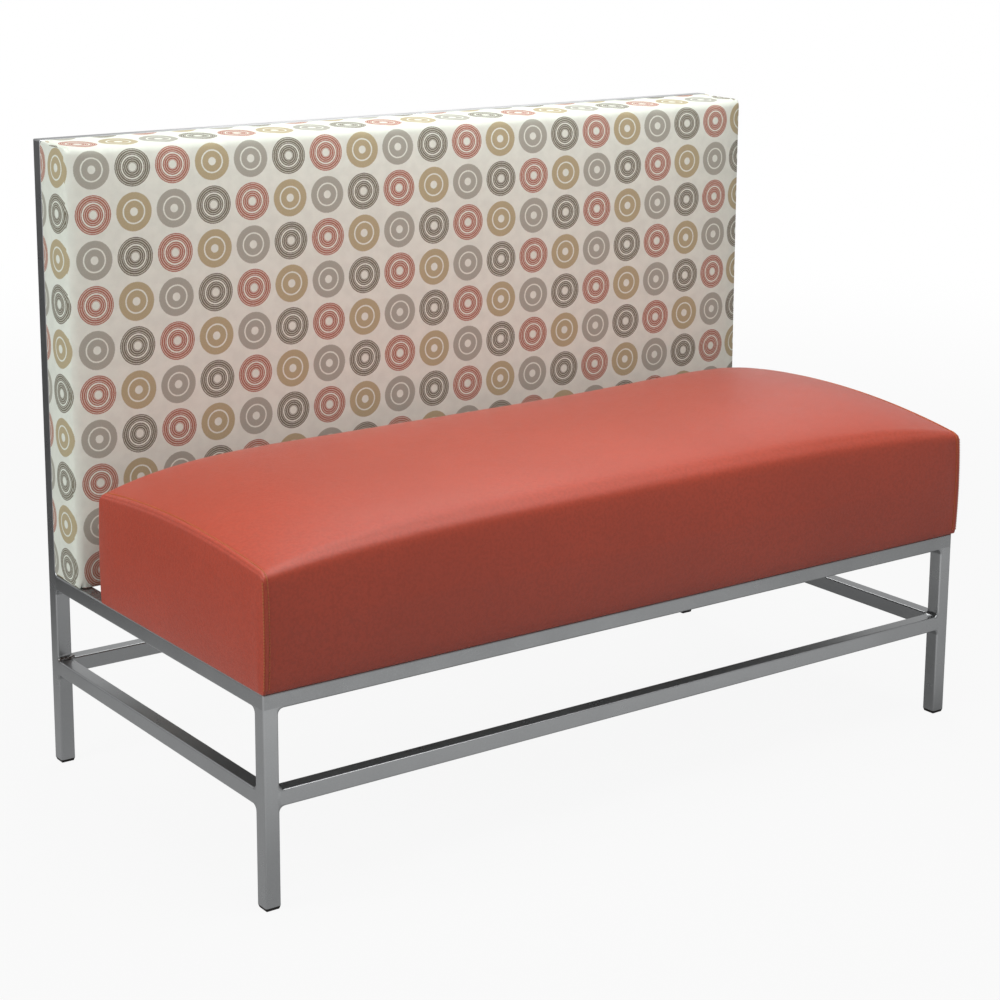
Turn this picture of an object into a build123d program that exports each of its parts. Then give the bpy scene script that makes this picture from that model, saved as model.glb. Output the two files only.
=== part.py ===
from build123d import *
import math
import os

# A free-standing bench seat for a cafe or restaurant booth. A welded frame of square steel tube carries
# a thick sprung-edge seat cushion and a tall flat back pad, each upholstered over a plywood board.
# X runs along the bench, Y from the sitter's knees to the back, Z up. The origin is on the floor,
# under the middle of the bench's own box, which takes in the cushion's front swell.

# Frame, outside sizes
bench_width = 1219.2
bench_depth = 609.6
bench_height = 914.4
seat_rail_top = 287.0
stretcher_top = 158.0

# Square tube
tube_side = 22.2
tube_wall = 1.6
tube_corner = 2.5

# Welds, tabs and bearers
weld_leg = 7.5
weld_gap = 0.4
tab_length = 34.0
tab_reach = 27.0
tab_drop = 68.0
tab_thickness = 3.0
tab_corner = 5.0
tab_setback = 0.8
bearer_inset = 50.0

# Foot glides
glide_thickness = 4.5
glide_taper = 22.0
glide_plug_height = 15.0
glide_fin_thickness = 1.4
glide_fin_count = 4
glide_core_side = 13.0
glide_clearance = 0.3

# Seat cushion, over the frame's rails
seat_depth = 436.0
seat_front_swell = 10.0
seat_rear_swell = 4.0
seat_side_swell = 6.0
seat_side_seam_swell = 1.5
seat_corner_height = 156.0
seat_end_bow = 13.0
seat_front_rise = 35.0
seat_crown_rise = 34.0
seat_rear_rise = 41.0
seat_front_round = 20.0
seat_rear_round = 16.0
seat_tuck = 9.0
seat_side_roll = 10.0
seat_side_flat = 36.0
seat_board = 15.0
seat_cover_thickness = 1.2

# Back pad, in front of the rear posts
pad_thickness = 86.0
pad_crown = 3.0
pad_round = 11.0
pad_side_round = 7.0
pad_board = 12.0
pad_cover_thickness = 1.2

# Upholstery details
flap_width = 48.0
dust_cover_thickness = 0.4
dust_cover_margin = 6.0
board_corner = 4.0
staple_crown = 10.0
staple_wire = 0.5
staple_width = 1.2
staple_leg = 6.0
staple_inset = 34.0
staple_pitch = 110.0

# Outside back panel
outer_board = 3.0
outer_cover_thickness = 1.0
outer_margin = 1.5
outer_corner = 8.0

# Machine screws, washers and tee nuts
screw_radius = 3.0
screw_head_radius = 5.25
screw_head_height = 3.3
socket_across = 4.0
socket_depth = 2.0
seat_screw_length = 20.0
pad_screw_length = 24.0
washer_radius = 7.0
washer_thickness = 1.6
cup_radius = 8.0
cup_height = 3.2
cup_rim = 0.5
cup_lip = 1.0
cone_head_radius = 6.0
screw_hole_radius = 3.4
tee_flange_radius = 9.5
tee_flange_thickness = 1.2
tee_barrel_radius = 3.9
tee_barrel_length = 9.0
thread_clearance = 0.05
hole_clearance = 0.2
soft_hole_radius = 4.4

# Clearances and the overrun of every cut
soft_clearance = 0.3
board_clearance = 0.5
overrun = 2.0

# Shares: the cushion's rise along half its length, the pad's stations and crown, and small shapes
seat_station_count = 5
seat_rise_power = 5
pad_station_shares = ((1.0, 0.4), (0.5, 0.85), (0.0, 1.0))
cope_share = 0.9
weld_face_share = 0.34
head_round_share = 0.6
quarter_share = 1 - math.sqrt(0.5)

# Places worked out from the sizes above
half_width = bench_width / 2
half_tube = tube_side / 2
front_y = (seat_front_swell - bench_depth) / 2
rear_y = front_y + bench_depth
post_front_y = rear_y - tube_side
left_x = half_tube - half_width
right_x = -left_x
front_line_y = front_y + half_tube
rear_line_y = rear_y - half_tube
rail_z = seat_rail_top - half_tube
stretcher_z = stretcher_top - half_tube
top_z = bench_height - half_tube
cope = cope_share * tube_corner
bore_side = tube_side - 2 * tube_wall
bore_corner = tube_corner - tube_wall
seat_base_z = seat_rail_top + soft_clearance
seat_rear_y = front_y + seat_depth
seat_middle_y = (front_y + seat_rear_y) / 2
seat_board_z = seat_base_z + seat_cover_thickness
seat_foam_z = seat_board_z + seat_board
bearer_y = seat_rear_y - bearer_inset
bearer_z = rail_z - tab_setback
pad_rear_y = post_front_y - soft_clearance
pad_board_y = pad_rear_y - pad_cover_thickness
pad_foam_y = pad_board_y - pad_board
pad_bottom_z = seat_rail_top + soft_clearance
pad_top_z = bench_height
pad_middle_z = (pad_bottom_z + pad_top_z) / 2
pad_height = pad_top_z - pad_bottom_z
pad_tab_y = post_front_y + tab_setback
outer_front_y = pad_tab_y + tab_thickness
outer_rear_y = outer_front_y + outer_board + outer_cover_thickness
opening_width = bench_width - 2 * tube_side
opening_height = bench_height - tube_side - seat_rail_top
opening_middle_z = seat_rail_top + opening_height / 2

os.makedirs("parts", exist_ok=True)


def save(piece, label):
    """Name a finished piece and write it to its own file."""
    piece.part.label = label
    export_step(piece.part, f"parts/{label}.step")


# The frame's tubes: each has its centre line, its mitred corners and the tubes it is coped to
corner_left = (-half_width, front_y, rail_z)
corner_right = (half_width, front_y, rail_z)
shoulder_left = (-half_width, rear_line_y, bench_height)
shoulder_right = (half_width, rear_line_y, bench_height)
reach = half_tube - cope

tubes = {
    "rear_post_left": (
        (left_x, rear_line_y, glide_thickness), (left_x, rear_line_y, bench_height),
        [(shoulder_left, (-1, 0, -1))], []),
    "rear_post_right": (
        (right_x, rear_line_y, glide_thickness), (right_x, rear_line_y, bench_height),
        [(shoulder_right, (1, 0, -1))], []),
    "back_top_rail": (
        (-half_width, rear_line_y, top_z), (half_width, rear_line_y, top_z),
        [(shoulder_left, (1, 0, 1)), (shoulder_right, (-1, 0, 1))], []),
    "seat_rail_front": (
        (-half_width, front_line_y, rail_z), (half_width, front_line_y, rail_z),
        [(corner_left, (1, -1, 0)), (corner_right, (-1, -1, 0))], []),
    "seat_rail_left": (
        (left_x, front_y, rail_z), (left_x, rear_line_y - reach, rail_z),
        [(corner_left, (-1, 1, 0))], ["rear_post_left"]),
    "seat_rail_right": (
        (right_x, front_y, rail_z), (right_x, rear_line_y - reach, rail_z),
        [(corner_right, (1, 1, 0))], ["rear_post_right"]),
    "seat_rail_rear": (
        (left_x + reach, rear_line_y, rail_z), (right_x - reach, rear_line_y, rail_z),
        [], ["rear_post_left", "rear_post_right", "seat_rail_left", "seat_rail_right"]),
    "front_leg_left": (
        (left_x, front_line_y, glide_thickness), (left_x, front_line_y, rail_z - reach),
        [], ["seat_rail_front", "seat_rail_left"]),
    "front_leg_right": (
        (right_x, front_line_y, glide_thickness), (right_x, front_line_y, rail_z - reach),
        [], ["seat_rail_front", "seat_rail_right"]),
    "stretcher_front": (
        (left_x + reach, front_line_y, stretcher_z), (right_x - reach, front_line_y, stretcher_z),
        [], ["front_leg_left", "front_leg_right"]),
    "stretcher_rear": (
        (left_x + reach, rear_line_y, stretcher_z), (right_x - reach, rear_line_y, stretcher_z),
        [], ["rear_post_left", "rear_post_right"]),
    "stretcher_left": (
        (left_x, front_line_y + reach, stretcher_z), (left_x, rear_line_y - reach, stretcher_z),
        [], ["front_leg_left", "rear_post_left", "stretcher_front", "stretcher_rear"]),
    "stretcher_right": (
        (right_x, front_line_y + reach, stretcher_z), (right_x, rear_line_y - reach, stretcher_z),
        [], ["front_leg_right", "rear_post_right", "stretcher_front", "stretcher_rear"]),
    "seat_bearer_rear": (
        (left_x + reach, bearer_y, bearer_z), (right_x - reach, bearer_y, bearer_z),
        [], ["seat_rail_left", "seat_rail_right"]),
    "seat_bearer_middle": (
        (0, front_line_y + reach, bearer_z), (0, bearer_y - reach, bearer_z),
        [], ["seat_rail_front", "seat_bearer_rear"]),
}


def square_bar(start, end, hollow):
    """Extrude the square section along a centre line, as hollow stock or as a filled bar."""
    run = Vector(end) - Vector(start)
    across = (0, 1, 0) if abs(run.X) > 0 else (1, 0, 0)
    with BuildSketch(Plane(origin=start, x_dir=across, z_dir=run.normalized())) as outline:
        RectangleRounded(tube_side, tube_side, tube_corner)
        if hollow:
            RectangleRounded(bore_side, bore_side, bore_corner, mode=Mode.SUBTRACT)
    extrude(outline.sketch, amount=run.length)


filled_bars = {}
for tube_name, (start, end, mitres, copes) in tubes.items():
    with BuildPart() as filled_bar:
        square_bar(start, end, hollow=False)
    filled_bars[tube_name] = filled_bar.part

# What rounds the mitred corners like the tube's own edges, at the seat's front and the back's top
corner_blank = 2 * tube_corner
with BuildPart() as seat_corner_cuts:
    with BuildSketch():
        with Locations((-half_width, front_y), (half_width, front_y)):
            Rectangle(corner_blank, corner_blank)
        with Locations(
                (tube_corner - half_width, front_y + tube_corner),
                (half_width - tube_corner, front_y + tube_corner)):
            Circle(tube_corner, mode=Mode.SUBTRACT)
    extrude(amount=bench_height)

with BuildPart() as back_corner_cuts:
    with BuildSketch(Plane.XZ):
        with Locations((-half_width, bench_height), (half_width, bench_height)):
            Rectangle(corner_blank, corner_blank)
        with Locations(
                (tube_corner - half_width, bench_height - tube_corner),
                (half_width - tube_corner, bench_height - tube_corner)):
            Circle(tube_corner, mode=Mode.SUBTRACT)
    extrude(amount=bench_depth, both=True)

for tube_name, (start, end, mitres, copes) in tubes.items():
    with BuildPart() as tube:
        square_bar(start, end, hollow=True)
        for corner, keep_side in mitres:
            split(bisect_by=Plane(origin=corner, z_dir=keep_side), keep=Keep.TOP)
        for neighbour in copes:
            add(filled_bars[neighbour], mode=Mode.SUBTRACT)
        if mitres:
            corner_cuts = seat_corner_cuts if tube_name.startswith("seat") else back_corner_cuts
            add(corner_cuts.part, mode=Mode.SUBTRACT)
    save(tube, tube_name)

# Fillet welds in the inner corners: where each stands, along the bench or across it, and how it faces
inner_x = half_width - tube_side
inner_front_y = front_y + tube_side
rail_bottom = seat_rail_top - tube_side
stretcher_bottom = stretcher_top - tube_side
top_rail_bottom = bench_height - tube_side
lengthwise_welds = [
    (front_line_y, rail_bottom, -1), (front_line_y, stretcher_top, 1),
    (rear_line_y, rail_bottom, -1), (rear_line_y, seat_rail_top, 1),
    (rear_line_y, stretcher_top, 1), (rear_line_y, top_rail_bottom, -1)]
depthwise_welds = [
    (inner_front_y, 1, rail_bottom, -1), (post_front_y, -1, rail_bottom, -1),
    (inner_front_y, 1, stretcher_top, 1), (post_front_y, -1, stretcher_top, 1),
    (inner_front_y, 1, stretcher_bottom, -1), (post_front_y, -1, stretcher_bottom, -1)]


def weld(plane, along, up):
    """One hollow-faced fillet weld, drawn from the inner corner that it fills."""
    hollow = weld_leg * weld_face_share
    with BuildSketch(plane) as outline:
        with BuildLine():
            Line((0, 0), (along * weld_leg, 0))
            ThreePointArc((along * weld_leg, 0), (along * hollow, up * hollow), (0, up * weld_leg))
            Line((0, up * weld_leg), (0, 0))
        make_face()
    extrude(outline.sketch, amount=half_tube - weld_gap, both=True)


with BuildPart() as weld_beads:
    for side in (-1, 1):
        for line_y, corner_z, up in lengthwise_welds:
            inner_corner = (side * inner_x, line_y, corner_z)
            weld(Plane(origin=inner_corner, x_dir=(1, 0, 0), z_dir=(0, -1, 0)), -side, up)
        for corner_y, along, corner_z, up in depthwise_welds:
            inner_corner = (side * right_x, corner_y, corner_z)
            weld(Plane(origin=inner_corner, x_dir=(0, 1, 0), z_dir=(1, 0, 0)), along, up)
save(weld_beads, "weld_beads")

# Push-in foot glides: a tapered sole under the tube and a finned plug inside it
plug_side = bore_side - 2 * glide_clearance
fin_pitch = glide_plug_height / glide_fin_count
for glide_name, foot_x, foot_y in (
        ("glide_front_left", left_x, front_line_y), ("glide_front_right", right_x, front_line_y),
        ("glide_rear_left", left_x, rear_line_y), ("glide_rear_right", right_x, rear_line_y)):
    with BuildPart() as glide:
        with BuildSketch(Plane.XY.offset(glide_thickness)):
            with Locations((foot_x, foot_y)):
                RectangleRounded(tube_side, tube_side, tube_corner)
        extrude(amount=-glide_thickness, taper=glide_taper)
        with BuildSketch(Plane.XY.offset(glide_thickness)):
            with Locations((foot_x, foot_y)):
                Rectangle(glide_core_side, glide_core_side)
        extrude(amount=glide_plug_height)
        for fin in range(1, glide_fin_count):
            with BuildSketch(Plane.XY.offset(glide_thickness + fin * fin_pitch)):
                with Locations((foot_x, foot_y)):
                    Rectangle(plug_side, plug_side)
            extrude(amount=glide_fin_thickness)
    save(glide, glide_name)



def mount_tabs(plane, places):
    """Tabs with a screw hole, square where they are welded to a tube and rounded where they end."""
    with BuildSketch(plane) as outline:
        for (x, y), turn in places:
            with Locations(Location((x, y, 0), turn)):
                RectangleRounded(tab_length, tab_reach, tab_corner)
                with Locations((0, -tab_reach / 4)):
                    Rectangle(tab_length, tab_reach / 2)
                Circle(screw_hole_radius, mode=Mode.SUBTRACT)
    extrude(outline.sketch, amount=-tab_thickness)


# Tabs inside the seat ring that the cushion is screwed down to: each one's middle and its turn
tab_x = bench_width / 4
seat_tab_top = seat_rail_top - tab_setback
seat_tabs = []
for side in (-1, 1):
    seat_tabs += [
        ((side * tab_x, inner_front_y + tab_reach / 2), 0),
        ((side * tab_x, bearer_y - half_tube - tab_reach / 2), 180),
        ((side * (inner_x - tab_reach / 2), (front_y + bearer_y) / 2), side * 90)]
seat_screw_places = [place for place, turn in seat_tabs]

with BuildPart() as seat_mount_tabs:
    mount_tabs(Plane.XY.offset(seat_tab_top), seat_tabs)
save(seat_mount_tabs, "seat_mount_tabs")

# Tabs round the back opening that the back pad and the outside panel are screwed to
pad_tabs = []
for side in (-1, 1):
    pad_tabs += [
        ((side * tab_x, seat_rail_top + tab_reach / 2), 0),
        ((side * tab_x, top_rail_bottom - tab_reach / 2), 180),
        ((side * (inner_x - tab_reach / 2), seat_rail_top + tab_drop), side * 90),
        ((side * (inner_x - tab_reach / 2), top_rail_bottom - tab_drop), side * 90)]
pad_screw_places = [place for place, turn in pad_tabs]

with BuildPart() as back_mount_tabs:
    mount_tabs(Plane.XZ.offset(-pad_tab_y), pad_tabs)
save(back_mount_tabs, "back_mount_tabs")


def round_over(start, end, upright_first):
    """A quarter round between two points, leaving the first of them upright or level."""
    run, rise = end[0] - start[0], end[1] - start[1]
    if upright_first:
        middle = (start[0] + quarter_share * run, start[1] + (1 - quarter_share) * rise)
    else:
        middle = (start[0] + (1 - quarter_share) * run, start[1] + quarter_share * rise)
    ThreePointArc(start, middle, end)


def both_ways(shares):
    """A table of stations along half a length, carried from one end through the middle to the other."""
    return [(-share, risen) for share, risen in shares] + list(shares[-2::-1])


seat_stations = []
for step in range(seat_station_count, -1, -1):
    share = step / seat_station_count
    seat_stations.append((share, 1 - share ** seat_rise_power))


def seat_section(x, risen, inset):
    """The cushion's outline across the bench: tucked foot, swelling front, round edges and crown."""
    front = front_y + inset
    rear = seat_rear_y - inset
    swell_front = front - seat_front_swell
    swell_rear = rear + seat_rear_swell
    base = seat_base_z + inset
    front_z = seat_base_z + seat_corner_height + risen * seat_front_rise - inset
    crown_z = seat_base_z + seat_corner_height + seat_end_bow + risen * seat_crown_rise - inset
    rear_z = seat_base_z + seat_corner_height + risen * seat_rear_rise - inset
    bow = seat_side_seam_swell
    front_foot = (swell_front + bow, base + seat_tuck)
    front_turn = (swell_front + bow, front_z - seat_front_round)
    crown_front = (front + seat_front_round, front_z)
    crown_rear = (rear - seat_rear_round, rear_z)
    rear_turn = (swell_rear - bow, rear_z - seat_rear_round)
    rear_foot = (swell_rear - bow, base + seat_tuck)
    with BuildSketch(Plane.YZ.offset(x)) as outline:
        with BuildLine():
            Line((rear, base), (front, base))
            round_over((front, base), front_foot, upright_first=False)
            ThreePointArc(front_foot, (swell_front, (front_foot[1] + front_turn[1]) / 2), front_turn)
            round_over(front_turn, crown_front, upright_first=True)
            ThreePointArc(crown_front, (seat_middle_y, crown_z), crown_rear)
            round_over(crown_rear, rear_turn, upright_first=False)
            ThreePointArc(rear_turn, (swell_rear, (rear_foot[1] + rear_turn[1]) / 2), rear_foot)
            round_over(rear_foot, (rear, base), upright_first=True)
        make_face()
    return outline.sketch


def seat_form(inset):
    """The whole cushion drawn in by a wall: a crowned body between two swelling side panels."""
    seam_x = half_width + seat_side_seam_swell - inset
    face_x = half_width + seat_side_swell - inset
    loft([seat_section(share * seam_x, risen, inset) for share, risen in both_ways(seat_stations)])
    for side in (-1, 1):
        loft([
            seat_section(side * seam_x, 0, inset),
            seat_section(side * (seam_x + 2 * face_x) / 3, 0, inset + seat_side_roll),
            seat_section(side * face_x, 0, inset + seat_side_flat)], ruled=True)


# Staples through the covers' flaps, all round a board: where each stands and which way its crown lies
def staple_places(width, height):
    """Points round a rectangle, each with the turn of the staple that lies along that side."""
    places = []
    for length, across, turn in ((width, height, 0), (height, width, 90)):
        count = round(length / staple_pitch)
        for step in range(count):
            along = (step + 0.5) * length / count - length / 2
            for side in (-1, 1):
                place = (along, side * across / 2) if turn == 0 else (side * across / 2, along)
                places.append((place, turn))
    return places


def near_any(place, others, distance):
    """Whether a point lies within a distance of any of the others."""
    return any(math.hypot(place[0] - x, place[1] - y) < distance for x, y in others)


def staples(plane, places):
    """Staples driven along the plane's normal, with their crowns lying on the plane."""
    with BuildSketch(plane) as crowns:
        for (x, y), turn in places:
            with Locations(Location((x, y, 0), turn)):
                Rectangle(staple_crown, staple_width)
    extrude(crowns.sketch, amount=-staple_wire)
    with BuildSketch(plane) as legs:
        for (x, y), turn in places:
            with Locations(Location((x, y, 0), turn)):
                with GridLocations(staple_crown - staple_wire, 0, 2, 1):
                    Rectangle(staple_wire, staple_width)
    extrude(legs.sketch, amount=staple_leg)


def staple_slits(plane, places):
    """The slits that the staples' legs pass through."""
    with BuildSketch(plane.offset(-overrun)) as slits:
        for (x, y), turn in places:
            with Locations(Location((x, y, 0), turn)):
                with GridLocations(staple_crown - staple_wire, 0, 2, 1):
                    Rectangle(staple_wire + hole_clearance, staple_width + hole_clearance)
    extrude(slits.sketch, amount=overrun + staple_leg + hole_clearance, mode=Mode.SUBTRACT)


keep_off = tab_length
seat_staple_plane = Plane.XY.offset(seat_base_z - dust_cover_thickness)
seat_staple_places = [
    ((x, y + seat_middle_y), turn)
    for (x, y), turn in staple_places(bench_width - 2 * staple_inset, seat_depth - 2 * staple_inset)
    if not near_any((x, y + seat_middle_y), seat_screw_places, keep_off)]

with BuildPart() as seat_staples:
    staples(seat_staple_plane, seat_staple_places)
save(seat_staples, "seat_staples")

# The seat cushion, from its board outwards
board_x = bench_width - 2 * (seat_cover_thickness + board_clearance)
board_y = seat_depth - 2 * (seat_cover_thickness + board_clearance)
with BuildPart() as seat_board_panel:
    with BuildSketch(Plane.XY.offset(seat_board_z)):
        with Locations((0, seat_middle_y)):
            RectangleRounded(board_x, board_y, board_corner)
        with Locations(*seat_screw_places):
            Circle(tee_barrel_radius + thread_clearance, mode=Mode.SUBTRACT)
    extrude(amount=seat_board)
    staple_slits(seat_staple_plane, seat_staple_places)
save(seat_board_panel, "seat_board")

with BuildPart() as seat_foam:
    seat_form(seat_cover_thickness + soft_clearance)
    with BuildSketch(Plane.XY.offset(seat_foam_z)):
        with Locations((0, seat_middle_y)):
            Rectangle(2 * bench_width, 2 * bench_depth)
    extrude(amount=-2 * seat_board, mode=Mode.SUBTRACT)
    with BuildSketch(Plane.XY.offset(seat_foam_z)):
        with Locations(*seat_screw_places):
            Circle(tee_flange_radius + soft_clearance)
    extrude(amount=tee_flange_thickness + soft_clearance, mode=Mode.SUBTRACT)
save(seat_foam, "seat_foam")

with BuildPart() as seat_inside:
    seat_form(seat_cover_thickness)

with BuildPart() as seat_cover:
    seat_form(0)
    add(seat_inside.part, mode=Mode.SUBTRACT)
    with BuildSketch(Plane.XY.offset(seat_base_z - overrun)):
        with Locations((0, seat_middle_y)):
            Rectangle(bench_width - 2 * flap_width, seat_depth - 2 * flap_width)
        with Locations(*seat_screw_places):
            Circle(soft_hole_radius)
    extrude(amount=overrun + seat_cover_thickness + overrun, mode=Mode.SUBTRACT)
    staple_slits(seat_staple_plane, seat_staple_places)
save(seat_cover, "seat_cover")

with BuildPart() as seat_dust_cover:
    with BuildSketch(seat_staple_plane):
        with Locations((0, seat_middle_y)):
            Rectangle(
                opening_width - 2 * dust_cover_margin, seat_depth - 2 * tube_side - dust_cover_margin)
        with Locations(*seat_screw_places):
            Circle(soft_hole_radius, mode=Mode.SUBTRACT)
    extrude(amount=dust_cover_thickness)
    staple_slits(seat_staple_plane, seat_staple_places)
save(seat_dust_cover, "seat_dust_cover")


def tee_nuts(plane, places):
    """Flanged tee nuts let into a board from its foam side, which is the plane."""
    with BuildSketch(plane) as outline:
        with Locations(*places):
            Circle(tee_flange_radius)
    extrude(outline.sketch, amount=tee_flange_thickness)
    with BuildSketch(plane) as outline:
        with Locations(*places):
            Circle(tee_barrel_radius)
    extrude(outline.sketch, amount=-tee_barrel_length)
    with BuildSketch(plane.offset(-tee_barrel_length - overrun)) as outline:
        with Locations(*places):
            Circle(screw_radius + thread_clearance)
    bore_length = tee_barrel_length + tee_flange_thickness + 2 * overrun
    extrude(outline.sketch, amount=bore_length, mode=Mode.SUBTRACT)


with BuildPart() as seat_tee_nuts:
    tee_nuts(Plane.XY.offset(seat_foam_z), seat_screw_places)
save(seat_tee_nuts, "seat_tee_nuts")

washer_top = seat_tab_top - tab_thickness
with BuildPart() as seat_washers:
    with BuildSketch(Plane.XY.offset(washer_top)):
        with Locations(*seat_screw_places):
            Circle(washer_radius)
            Circle(screw_radius + hole_clearance, mode=Mode.SUBTRACT)
    extrude(amount=-washer_thickness)
save(seat_washers, "seat_washers")

screw_seat_z = washer_top - washer_thickness
with BuildPart() as seat_screws:
    with BuildSketch(Plane.XY.offset(screw_seat_z)):
        with Locations(*seat_screw_places):
            Circle(screw_radius)
    extrude(amount=seat_screw_length)
    with BuildSketch(Plane.XY.offset(screw_seat_z)):
        with Locations(*seat_screw_places):
            Circle(screw_head_radius)
    extrude(amount=-screw_head_height)
    crowns = seat_screws.faces().sort_by(Axis.Z)[:len(seat_screw_places)].edges()
    fillet(crowns, radius=head_round_share * screw_head_height)
    with BuildSketch(Plane.XY.offset(screw_seat_z - screw_head_height)):
        with Locations(*seat_screw_places):
            RegularPolygon(socket_across / 2, 6, major_radius=False)
    extrude(amount=socket_depth, mode=Mode.SUBTRACT)
save(seat_screws, "seat_screws")


def pad_section(x, crown, set_back, inset):
    """The back pad's outline across the bench: flat behind, crowned in front, with rounded edges."""
    edge_y = pad_rear_y - pad_thickness + pad_crown + set_back + inset
    rear = pad_rear_y - inset
    bottom = pad_bottom_z + inset
    top = pad_top_z - inset
    with BuildSketch(Plane.YZ.offset(x)) as outline:
        with BuildLine():
            Line((rear, bottom), (rear, top))
            Line((rear, top), (edge_y + pad_round, top))
            round_over((edge_y + pad_round, top), (edge_y, top - pad_round), upright_first=False)
            ThreePointArc(
                (edge_y, top - pad_round), (edge_y - crown, pad_middle_z), (edge_y, bottom + pad_round))
            round_over((edge_y, bottom + pad_round), (edge_y + pad_round, bottom), upright_first=True)
            Line((edge_y + pad_round, bottom), (rear, bottom))
        make_face()
    return outline.sketch


def pad_form(inset):
    """The whole back pad drawn in by a wall: a crowned body between two rounded ends."""
    turn_x = half_width - pad_side_round - inset
    end_crown = pad_station_shares[0][1] * pad_crown
    half_turn = 1 - quarter_share
    loft([
        pad_section(share * turn_x, risen * pad_crown, 0, inset)
        for share, risen in both_ways(pad_station_shares)])
    for side in (-1, 1):
        loft([
            pad_section(side * turn_x, end_crown, 0, inset),
            pad_section(
                side * (turn_x + half_turn * pad_side_round), end_crown,
                quarter_share * pad_side_round, inset),
            pad_section(side * (turn_x + pad_side_round), end_crown, pad_side_round, inset)], ruled=True)


# The back pad, from its board outwards
pad_staple_plane = Plane.XZ.offset(-pad_rear_y)
pad_staple_places = [
    ((x, z + pad_middle_z), turn)
    for (x, z), turn in staple_places(bench_width - 2 * staple_inset, pad_height - 2 * staple_inset)
    if not near_any((x, z + pad_middle_z), pad_screw_places, keep_off)]

with BuildPart() as back_staples:
    staples(pad_staple_plane, pad_staple_places)
save(back_staples, "back_staples")

pad_board_height = pad_height - 2 * (pad_cover_thickness + board_clearance)
with BuildPart() as back_board:
    with BuildSketch(Plane.XZ.offset(-pad_board_y)):
        with Locations((0, pad_middle_z)):
            RectangleRounded(board_x, pad_board_height, board_corner)
        with Locations(*pad_screw_places):
            Circle(tee_barrel_radius + thread_clearance, mode=Mode.SUBTRACT)
    extrude(amount=pad_board)
    staple_slits(pad_staple_plane, pad_staple_places)
save(back_board, "back_board")

with BuildPart() as back_foam:
    pad_form(pad_cover_thickness + soft_clearance)
    with BuildSketch(Plane.XZ.offset(-pad_foam_y)):
        with Locations((0, pad_middle_z)):
            Rectangle(2 * bench_width, 2 * bench_height)
    extrude(amount=-2 * pad_board, mode=Mode.SUBTRACT)
    with BuildSketch(Plane.XZ.offset(-pad_foam_y)):
        with Locations(*pad_screw_places):
            Circle(tee_flange_radius + soft_clearance)
    extrude(amount=tee_flange_thickness + soft_clearance, mode=Mode.SUBTRACT)
save(back_foam, "back_foam")

with BuildPart() as pad_inside:
    pad_form(pad_cover_thickness)

with BuildPart() as back_cover:
    pad_form(0)
    add(pad_inside.part, mode=Mode.SUBTRACT)
    with BuildSketch(Plane.XZ.offset(-pad_rear_y - overrun)):
        with Locations((0, pad_middle_z)):
            Rectangle(bench_width - 2 * flap_width, pad_height - 2 * flap_width)
        with Locations(*pad_screw_places):
            Circle(soft_hole_radius)
    extrude(amount=2 * overrun + pad_cover_thickness, mode=Mode.SUBTRACT)
    staple_slits(pad_staple_plane, pad_staple_places)
save(back_cover, "back_cover")

with BuildPart() as back_tee_nuts:
    tee_nuts(Plane.XZ.offset(-pad_foam_y), pad_screw_places)
save(back_tee_nuts, "back_tee_nuts")

# The outside back: a thin covered board in the frame's opening, with its corners clipped past the welds
outer_width = opening_width - 2 * outer_margin
outer_height = opening_height - 2 * outer_margin
outer_plane = Plane.XZ.offset(-outer_front_y)


def clipped_panel(plane, inset):
    """A rectangle with clipped corners, drawn in from the outside panel's edge."""
    with BuildSketch(plane) as outline:
        with Locations((0, opening_middle_z)):
            panel = Rectangle(outer_width - 2 * inset, outer_height - 2 * inset)
        chamfer(panel.vertices(), length=outer_corner)
    return outline.sketch


with BuildPart() as outer_back_board:
    extrude(clipped_panel(outer_plane, outer_cover_thickness), amount=-outer_board)
    with BuildSketch(outer_plane.offset(overrun)):
        with Locations(*pad_screw_places):
            Circle(screw_hole_radius)
    extrude(amount=-outer_board - 2 * overrun, mode=Mode.SUBTRACT)
save(outer_back_board, "outer_back_board")

with BuildPart() as outer_back_cover:
    extrude(clipped_panel(outer_plane, 0), amount=-outer_board - outer_cover_thickness)
    extrude(clipped_panel(outer_plane, outer_cover_thickness), amount=-outer_board, mode=Mode.SUBTRACT)
    with BuildSketch(outer_plane.offset(overrun)):
        with Locations(*pad_screw_places):
            Circle(screw_hole_radius)
    extrude(amount=-outer_board - outer_cover_thickness - 2 * overrun, mode=Mode.SUBTRACT)
save(outer_back_cover, "outer_back_cover")


def turned(places, profile):
    """Revolve a profile of radius and distance behind the outside panel about each screw's axis."""
    for x, z in places:
        section_plane = Plane(origin=(x, outer_rear_y, z), x_dir=(1, 0, 0), z_dir=(0, 0, 1))
        with BuildSketch(section_plane) as half_section:
            with BuildLine():
                Polyline(*profile, close=True)
            make_face()
        revolve(half_section.sketch, axis=Axis((x, outer_rear_y, z), (0, 1, 0)))


cone_foot = cup_height - cone_head_radius + screw_radius
with BuildPart() as back_cup_washers:
    turned(pad_screw_places, [
        (screw_hole_radius, 0), (cup_radius, 0), (cup_radius, cup_rim),
        (cone_head_radius + cup_lip, cup_height),
        (cone_head_radius + hole_clearance, cup_height), (screw_hole_radius, cone_foot + hole_clearance)])
save(back_cup_washers, "back_cup_washers")

with BuildPart() as back_screws:
    turned(pad_screw_places, [
        (0, cup_height - pad_screw_length), (screw_radius, cup_height - pad_screw_length),
        (screw_radius, cone_foot), (cone_head_radius, cup_height), (0, cup_height)])
    with BuildSketch(Plane.XZ.offset(-outer_rear_y - cup_height)):
        with Locations(*pad_screw_places):
            RegularPolygon(socket_across / 2, 6, major_radius=False)
    extrude(amount=socket_depth, mode=Mode.SUBTRACT)
save(back_screws, "back_screws")
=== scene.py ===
import math
import random

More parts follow.
